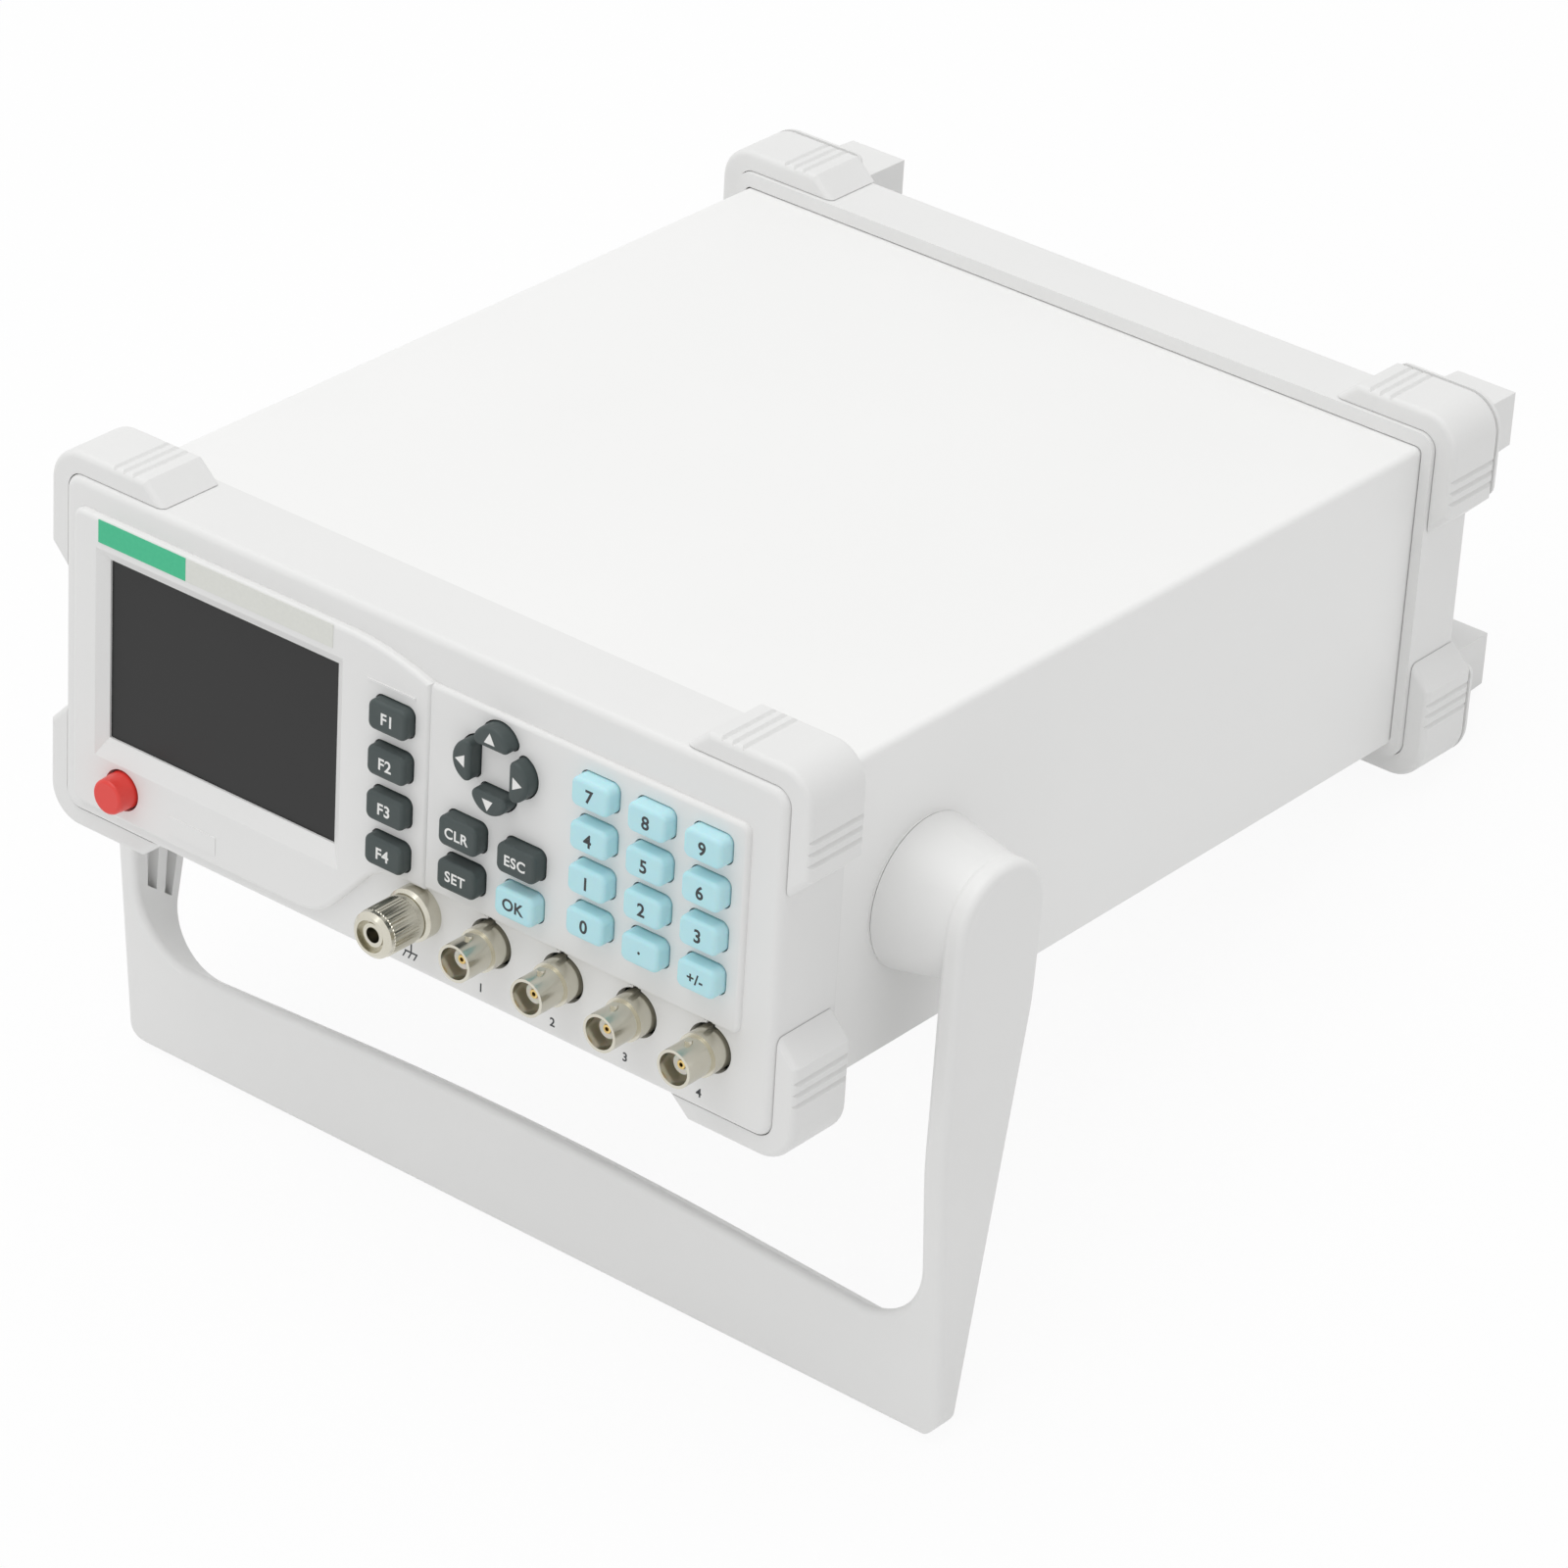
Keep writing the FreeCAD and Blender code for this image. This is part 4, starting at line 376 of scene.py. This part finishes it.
# %% Circuit board
board, tree, shader, where = start("circuit_board_lacquer", IOR=1.5, Roughness=0.35)
tracks = add(tree, "ShaderNodeTexBrick", {"Scale": per_mm(14), "Mortar Size": 0.03, "Color1": colour("#1d5b3a"),
                                          "Color2": colour("#22633f"), "Mortar": colour("#2f7d50")},
             {"Vector": where})
relief = add(tree, "ShaderNodeBump", {"Strength": 0.2, "Distance": 0.04 * MM},
             {"Height": tracks.outputs["Fac"]})
feed(tree, shader, Base_Color=tracks.outputs["Color"], Normal=relief.outputs["Normal"])
wear(["front_board", "main_board", "power_board"], board)

# %% Laminated core, fuse glass, and zinc on all that is left
core = turned_metal("varnished_core_sheets", "#5a5f66", "#4c5157", 0.4, 0.55, 0.5)
wear(["transformer"], core)
fuse_glass, tree, shader, where = start("fuse_glass", IOR=1.5, Transmission_Weight=0.6,
                                        Base_Color=colour("#dfe6e4"))
film = add(tree, "ShaderNodeTexNoise", {"Scale": per_mm(3), "Detail": 2.0}, {"Vector": where})
gloss = add(tree, "ShaderNodeMapRange", {"To Min": 0.05, "To Max": 0.12}, {"Value": film.outputs["Fac"]})
feed(tree, shader, Roughness=gloss.outputs["Result"])
wear(["fuse"], fuse_glass)
wear(sorted(set(nodes) - dressed), zinc)

# %% [markdown]
# ## Printed marks on the keys
#
# The marks are screen-printed ink, a few hundredths of a millimetre thick. Each is a text turned into a thin
# mesh that stands on its key's face and rides with the key, so it goes in when the key is pressed. Ink is not
# quite even: its gloss and density vary over a millimetre or so.

# %% Printing ink
def ink(name, hex_value, shade):
    """Printed ink or film between two tones."""
    made, tree, shader, where = start(name, IOR=1.5)
    patch = add(tree, "ShaderNodeTexNoise", {"Scale": per_mm(1.0), "Detail": 2.0}, {"Vector": where})
    tone = add(tree, "ShaderNodeMix", {"A": colour(hex_value), "B": colour(shade)},
               {"Factor": patch.outputs["Fac"]}, data_type="RGBA")
    gloss = add(tree, "ShaderNodeMapRange", {"To Min": 0.45, "To Max": 0.6}, {"Value": patch.outputs["Fac"]})
    feed(tree, shader, Base_Color=tone.outputs["Result"], Roughness=gloss.outputs["Result"])
    return made


white_ink = ink("screen_ink_white", "#f2f2f0", "#e6e6e4")
black_ink = ink("screen_ink_black", "#2a2d30", "#34373a")
print("inks:", white_ink.name, black_ink.name)

# %% Marks drawn flat, then settled on the panel
INK_THICK = 0.04 * MM
# Capitals of the built-in font are this share of its size.
CAP_SHARE = 0.69
# A mark's own X and Y are the panel's right and up, and its Z comes out of the panel.
OUTWARD = Matrix(((1, 0, 0, 0), (0, 0, -1, 0), (0, 1, 0, 0), (0, 0, 0, 1)))


def settle(piece, place, body):
    """Puts a mark drawn flat at the origin on the panel, at a level place, to ride on a body."""
    piece.data.transform(STANDING @ Matrix.Translation(place) @ OUTWARD)
    mount(piece, body)


def lettering(name, words, height, bold, spacing, material):
    """A text of that cap height in millimetres as a thin mesh, its middle at the origin."""
    text = bpy.data.curves.new(name, "FONT")
    text.body = words
    text.size = height / CAP_SHARE
    text.offset = bold
    text.space_character = spacing
    text.align_x = "CENTER"
    text.extrude = INK_THICK / MM
    carrier = bpy.data.objects.new(name, text)
    mesh = bpy.data.meshes.new_from_object(carrier)
    bpy.data.objects.remove(carrier)
    middle = [(min(v.co[i] for v in mesh.vertices) + max(v.co[i] for v in mesh.vertices)) / 2 for i in range(2)]
    mesh.transform(Matrix.Scale(MM, 4) @ Matrix.Translation((-middle[0], -middle[1], 0)))
    mesh.name = name
    mesh.materials.clear()
    mesh.materials.append(material)
    return bpy.data.objects.new(name, mesh)


def flat_shape(name, outlines, thick, material):
    """Thin plates from outlines of (x, y) points in millimetres, their tops at that height."""
    made = bmesh.new()
    for outline in outlines:
        base = made.faces.new([made.verts.new((x * MM, y * MM, 0)) for x, y in outline])
        raised = bmesh.ops.extrude_face_region(made, geom=[base])["geom"]
        top = [part for part in raised if isinstance(part, bmesh.types.BMVert)]
        bmesh.ops.translate(made, vec=(0, 0, thick), verts=top)
    bmesh.ops.recalc_face_normals(made, faces=made.faces)
    return as_object(made, name, material)


# %% Words and numbers on the keys
MARKS = {"key_f1": "F1", "key_f2": "F2", "key_f3": "F3", "key_f4": "F4", "key_clear": "CLR", "key_back": "ESC",
         "key_menu": "SET", "key_enter": "OK", "key_dot": ".", "key_sign": "+/-"}
MARKS.update({name: name[-1] for name in DIGITS})
# Cap height and how far the strokes are thickened, in mm, and the spacing, by the number of letters.
PRINT = {1: (3.2, 0.10, 1.0), 2: (2.9, 0.09, 1.05), 3: (2.6, 0.08, 1.08)}
for key, words in MARKS.items():
    pale = key in BLUE_KEYS
    piece = lettering("mark_" + key.removeprefix("key_"), words, *PRINT[len(words)],
                      black_ink if pale else white_ink)
    settle(piece, front_face(key), key)
print("marked keys:", len(MARKS))

# %% Arrowheads on the arrow keys
ARROWS = {"key_up": 0, "key_left": 90, "key_down": 180, "key_right": 270}
ARROWHEAD = ((-1.6, -1.3), (1.6, -1.3), (0, 1.5))
for key, degrees in ARROWS.items():
    angle = math.radians(degrees)
    turned = [(x * math.cos(angle) - y * math.sin(angle), x * math.sin(angle) + y * math.cos(angle))
              for x, y in ARROWHEAD]
    piece = flat_shape("arrowhead_" + key.removeprefix("key_"), [turned], INK_THICK, white_ink)
    settle(piece, front_face(key), key)
print("arrowheads:", len(ARROWS))

# %% [markdown]
# ## Marks on the panel
#
# A bare two-tone label strip runs above the screen: a green end and a grey length, both plastic film 0.15 mm
# thick. Below the screen a blank plate stands out a little from the panel, and a short ridge sits above the
# soft keys. The jacks have plain numbers, and the post has the common earth symbol.

# %% Label film
green_film = ink("label_film_green", "#43c393", "#3cba8a")
grey_film = ink("label_film_grey", "#e3e4de", "#dcddd7")
# Level depth of the raised display field and of the strip below the fields, in mm.
DISPLAY_Y = -0.8
STRIP_Y = 1.3
FILM_THICK = 0.15 * MM
print("films:", green_film.name, grey_film.name)

# %% Label and plates on the display field
# Left, right, low and high edges in level mm, thickness and finish.
PLATES = {
    "label_green": (-97.6, -69.3, 82.6, 88.6, FILM_THICK, green_film),
    "label_grey": (-69.25, -22.6, 82.6, 88.6, FILM_THICK, grey_film),
    "blank_plate": (-73.4, -58.5, 12.8, 17.6, 0.2 * MM, shell_abs),
    "soft_key_ridge": (-11.5, 3.2, 78.7, 79.3, 0.25 * MM, shell_abs),
}
for name, (left, right, low, high, thick, finish) in PLATES.items():
    half_x, half_z = (right - left) / 2, (high - low) / 2
    outline = [(-half_x, -half_z), (half_x, -half_z), (half_x, half_z), (-half_x, half_z)]
    place = Vector(((left + right) / 2, DISPLAY_Y, (low + high) / 2)) * MM
    settle(flat_shape(name, [outline], thick, finish), place, "case")
print("label film and plates:", len(PLATES))

# %% Numbers by the jacks
JACKS = (26.67, 48.67, 70.67, 92.67)
NUMBER_PRINT = (2.2, 0.06, 1.0)
NUMBER_LEFT = 2.5
NUMBER_HIGH = 10.0
for count, x in enumerate(JACKS, 1):
    piece = lettering(f"jack_number_{count}", str(count), *NUMBER_PRINT, black_ink)
    settle(piece, Vector((x - NUMBER_LEFT, STRIP_Y, NUMBER_HIGH)) * MM, "case")
print("jack numbers:", len(JACKS))

# %% Earth symbol by the post
STROKE = 0.42
STEM = 2.6
BAR_HALF = 2.0
FEET = (-1.7, 0, 1.7)
FOOT_HALF = 0.2
FOOT_LEAN = 0.8
FEET_LOW = -2.0
EARTH_PLACE = Vector((2.4, STRIP_Y, 10.6)) * MM
earth = [[(-STROKE / 2, 0), (STROKE / 2, 0), (STROKE / 2, STEM), (-STROKE / 2, STEM)],
         [(-BAR_HALF, -STROKE), (BAR_HALF, -STROKE), (BAR_HALF, 0), (-BAR_HALF, 0)]]
for foot in FEET:
    tip = foot - FOOT_LEAN
    earth.append([(tip - FOOT_HALF, FEET_LOW), (tip + FOOT_HALF, FEET_LOW),
                  (foot + FOOT_HALF, -STROKE), (foot - FOOT_HALF, -STROKE)])
settle(flat_shape("earth_symbol", earth, INK_THICK, black_ink), EARTH_PLACE, "case")
print("strokes of the earth symbol:", len(earth))

# %% [markdown]
# ## Camera
#
# The camera was fitted to the photograph by matching corners of the case: its place and its three directions
# are given in the meter's level frame, and the same matrix stands them up with the meter.

# %% Camera at the photograph's angle
EYE = Vector((919.09, -1052.12, 839.49)) * MM
RIGHT = Vector((0.77294, 0.63218, 0.05386))
DOWN = Vector((0.34535, -0.34799, -0.87157))
FORWARD = Vector((-0.53225, 0.69228, -0.4873))
FOCAL_PIXELS = 7070.73
PHOTO_PIXELS = 1600
SENSOR = 36.0
camera = bpy.data.objects.new("camera", bpy.data.cameras.new("camera"))
camera.data.sensor_width = SENSOR
camera.data.lens = FOCAL_PIXELS / PHOTO_PIXELS * SENSOR
camera.data.clip_end = 20
axes = Matrix((RIGHT, -DOWN, -FORWARD)).transposed().to_4x4()
axes.translation = EYE
camera.matrix_world = STANDING @ axes
bpy.context.scene.collection.objects.link(camera)
bpy.context.scene.camera = camera
print("lens in mm:", round(camera.data.lens, 2))

# %% [markdown]
# ## Floor and light
#
# The photograph is a studio shot on white. The floor is pale and takes the meter's soft shadow. For the camera,
# and for mirrors and glass, part of it shines with strength 1, which is white. A wide soft light hangs above,
# a weaker one stands in front to the left, and the world fills the rest.

# %% Floor
FLOOR_RADIUS = 6.0
FLOOR_WHITE = 0.92


def shown_white(tree):
    """An output that is one for rays from the camera, a mirror or glass, and else zero."""
    path = add(tree, "ShaderNodeLightPath").outputs
    seen = path["Is Camera Ray"]
    for ray in ("Is Glossy Ray", "Is Transmission Ray"):
        seen = add(tree, "ShaderNodeMath", links={0: seen, 1: path[ray]}, operation="MAXIMUM").outputs[0]
    return seen


floor_paper, tree, shader, where = start("studio_paper", Base_Color=colour("#f4f4f4"), Roughness=0.9)
fibre = add(tree, "ShaderNodeTexNoise", {"Scale": per_mm(2.0), "Detail": 2.0}, {"Vector": where})
bump = add(tree, "ShaderNodeBump", {"Strength": 0.03, "Distance": 0.05 * MM},
           {"Height": fibre.outputs["Fac"]})
feed(tree, shader, Normal=bump.outputs["Normal"])
share = add(tree, "ShaderNodeMath", {1: FLOOR_WHITE}, {0: shown_white(tree)}, operation="MULTIPLY")
white = add(tree, "ShaderNodeEmission", {"Color": (1, 1, 1, 1), "Strength": 1.0})
blend = add(tree, "ShaderNodeMixShader", links={0: share.outputs[0], 1: shader.outputs[0], 2: white.outputs[0]})
tree.links.new(blend.outputs[0], tree.nodes["Material Output"].inputs["Surface"])
plane = bmesh.new()
bmesh.ops.create_circle(plane, cap_ends=True, segments=96, radius=FLOOR_RADIUS)
floor = as_object(plane, "studio_floor", floor_paper)
bpy.context.scene.collection.objects.link(floor)
print("floor radius in m:", FLOOR_RADIUS)

# %% World and lamps
FILL = 0.66
LIGHT_AIM = Vector((0, 0, 0.1))
world = bpy.data.worlds.new("studio")
bpy.context.scene.world = world
world.use_nodes = True
tree = world.node_tree
fill = tree.nodes["Background"]
fill.inputs["Color"].default_value = (1, 1, 1, 1)
fill.inputs["Strength"].default_value = FILL
white = add(tree, "ShaderNodeBackground", {"Color": (1, 1, 1, 1), "Strength": 1.0})
blend = add(tree, "ShaderNodeMixShader", links={0: shown_white(tree), 1: fill.outputs[0], 2: white.outputs[0]})
tree.links.new(blend.outputs[0], tree.nodes["World Output"].inputs["Surface"])


def softbox(name, place, size, power):
    """A square lamp of that size in metres and power in watts, aimed at the meter."""
    lamp = bpy.data.objects.new(name, bpy.data.lights.new(name, "AREA"))
    lamp.data.shape = "SQUARE"
    lamp.data.size = size
    lamp.data.energy = power
    lamp.location = place
    lamp.rotation_euler = (LIGHT_AIM - Vector(place)).to_track_quat("-Z", "Y").to_euler()
    bpy.context.scene.collection.objects.link(lamp)


softbox("softbox_above", (-0.3, 0.3, 2.4), 2.0, 23)
softbox("softbox_front", (-0.3, -2.3, 0.5), 1.6, 4)
print("lamps: 2")
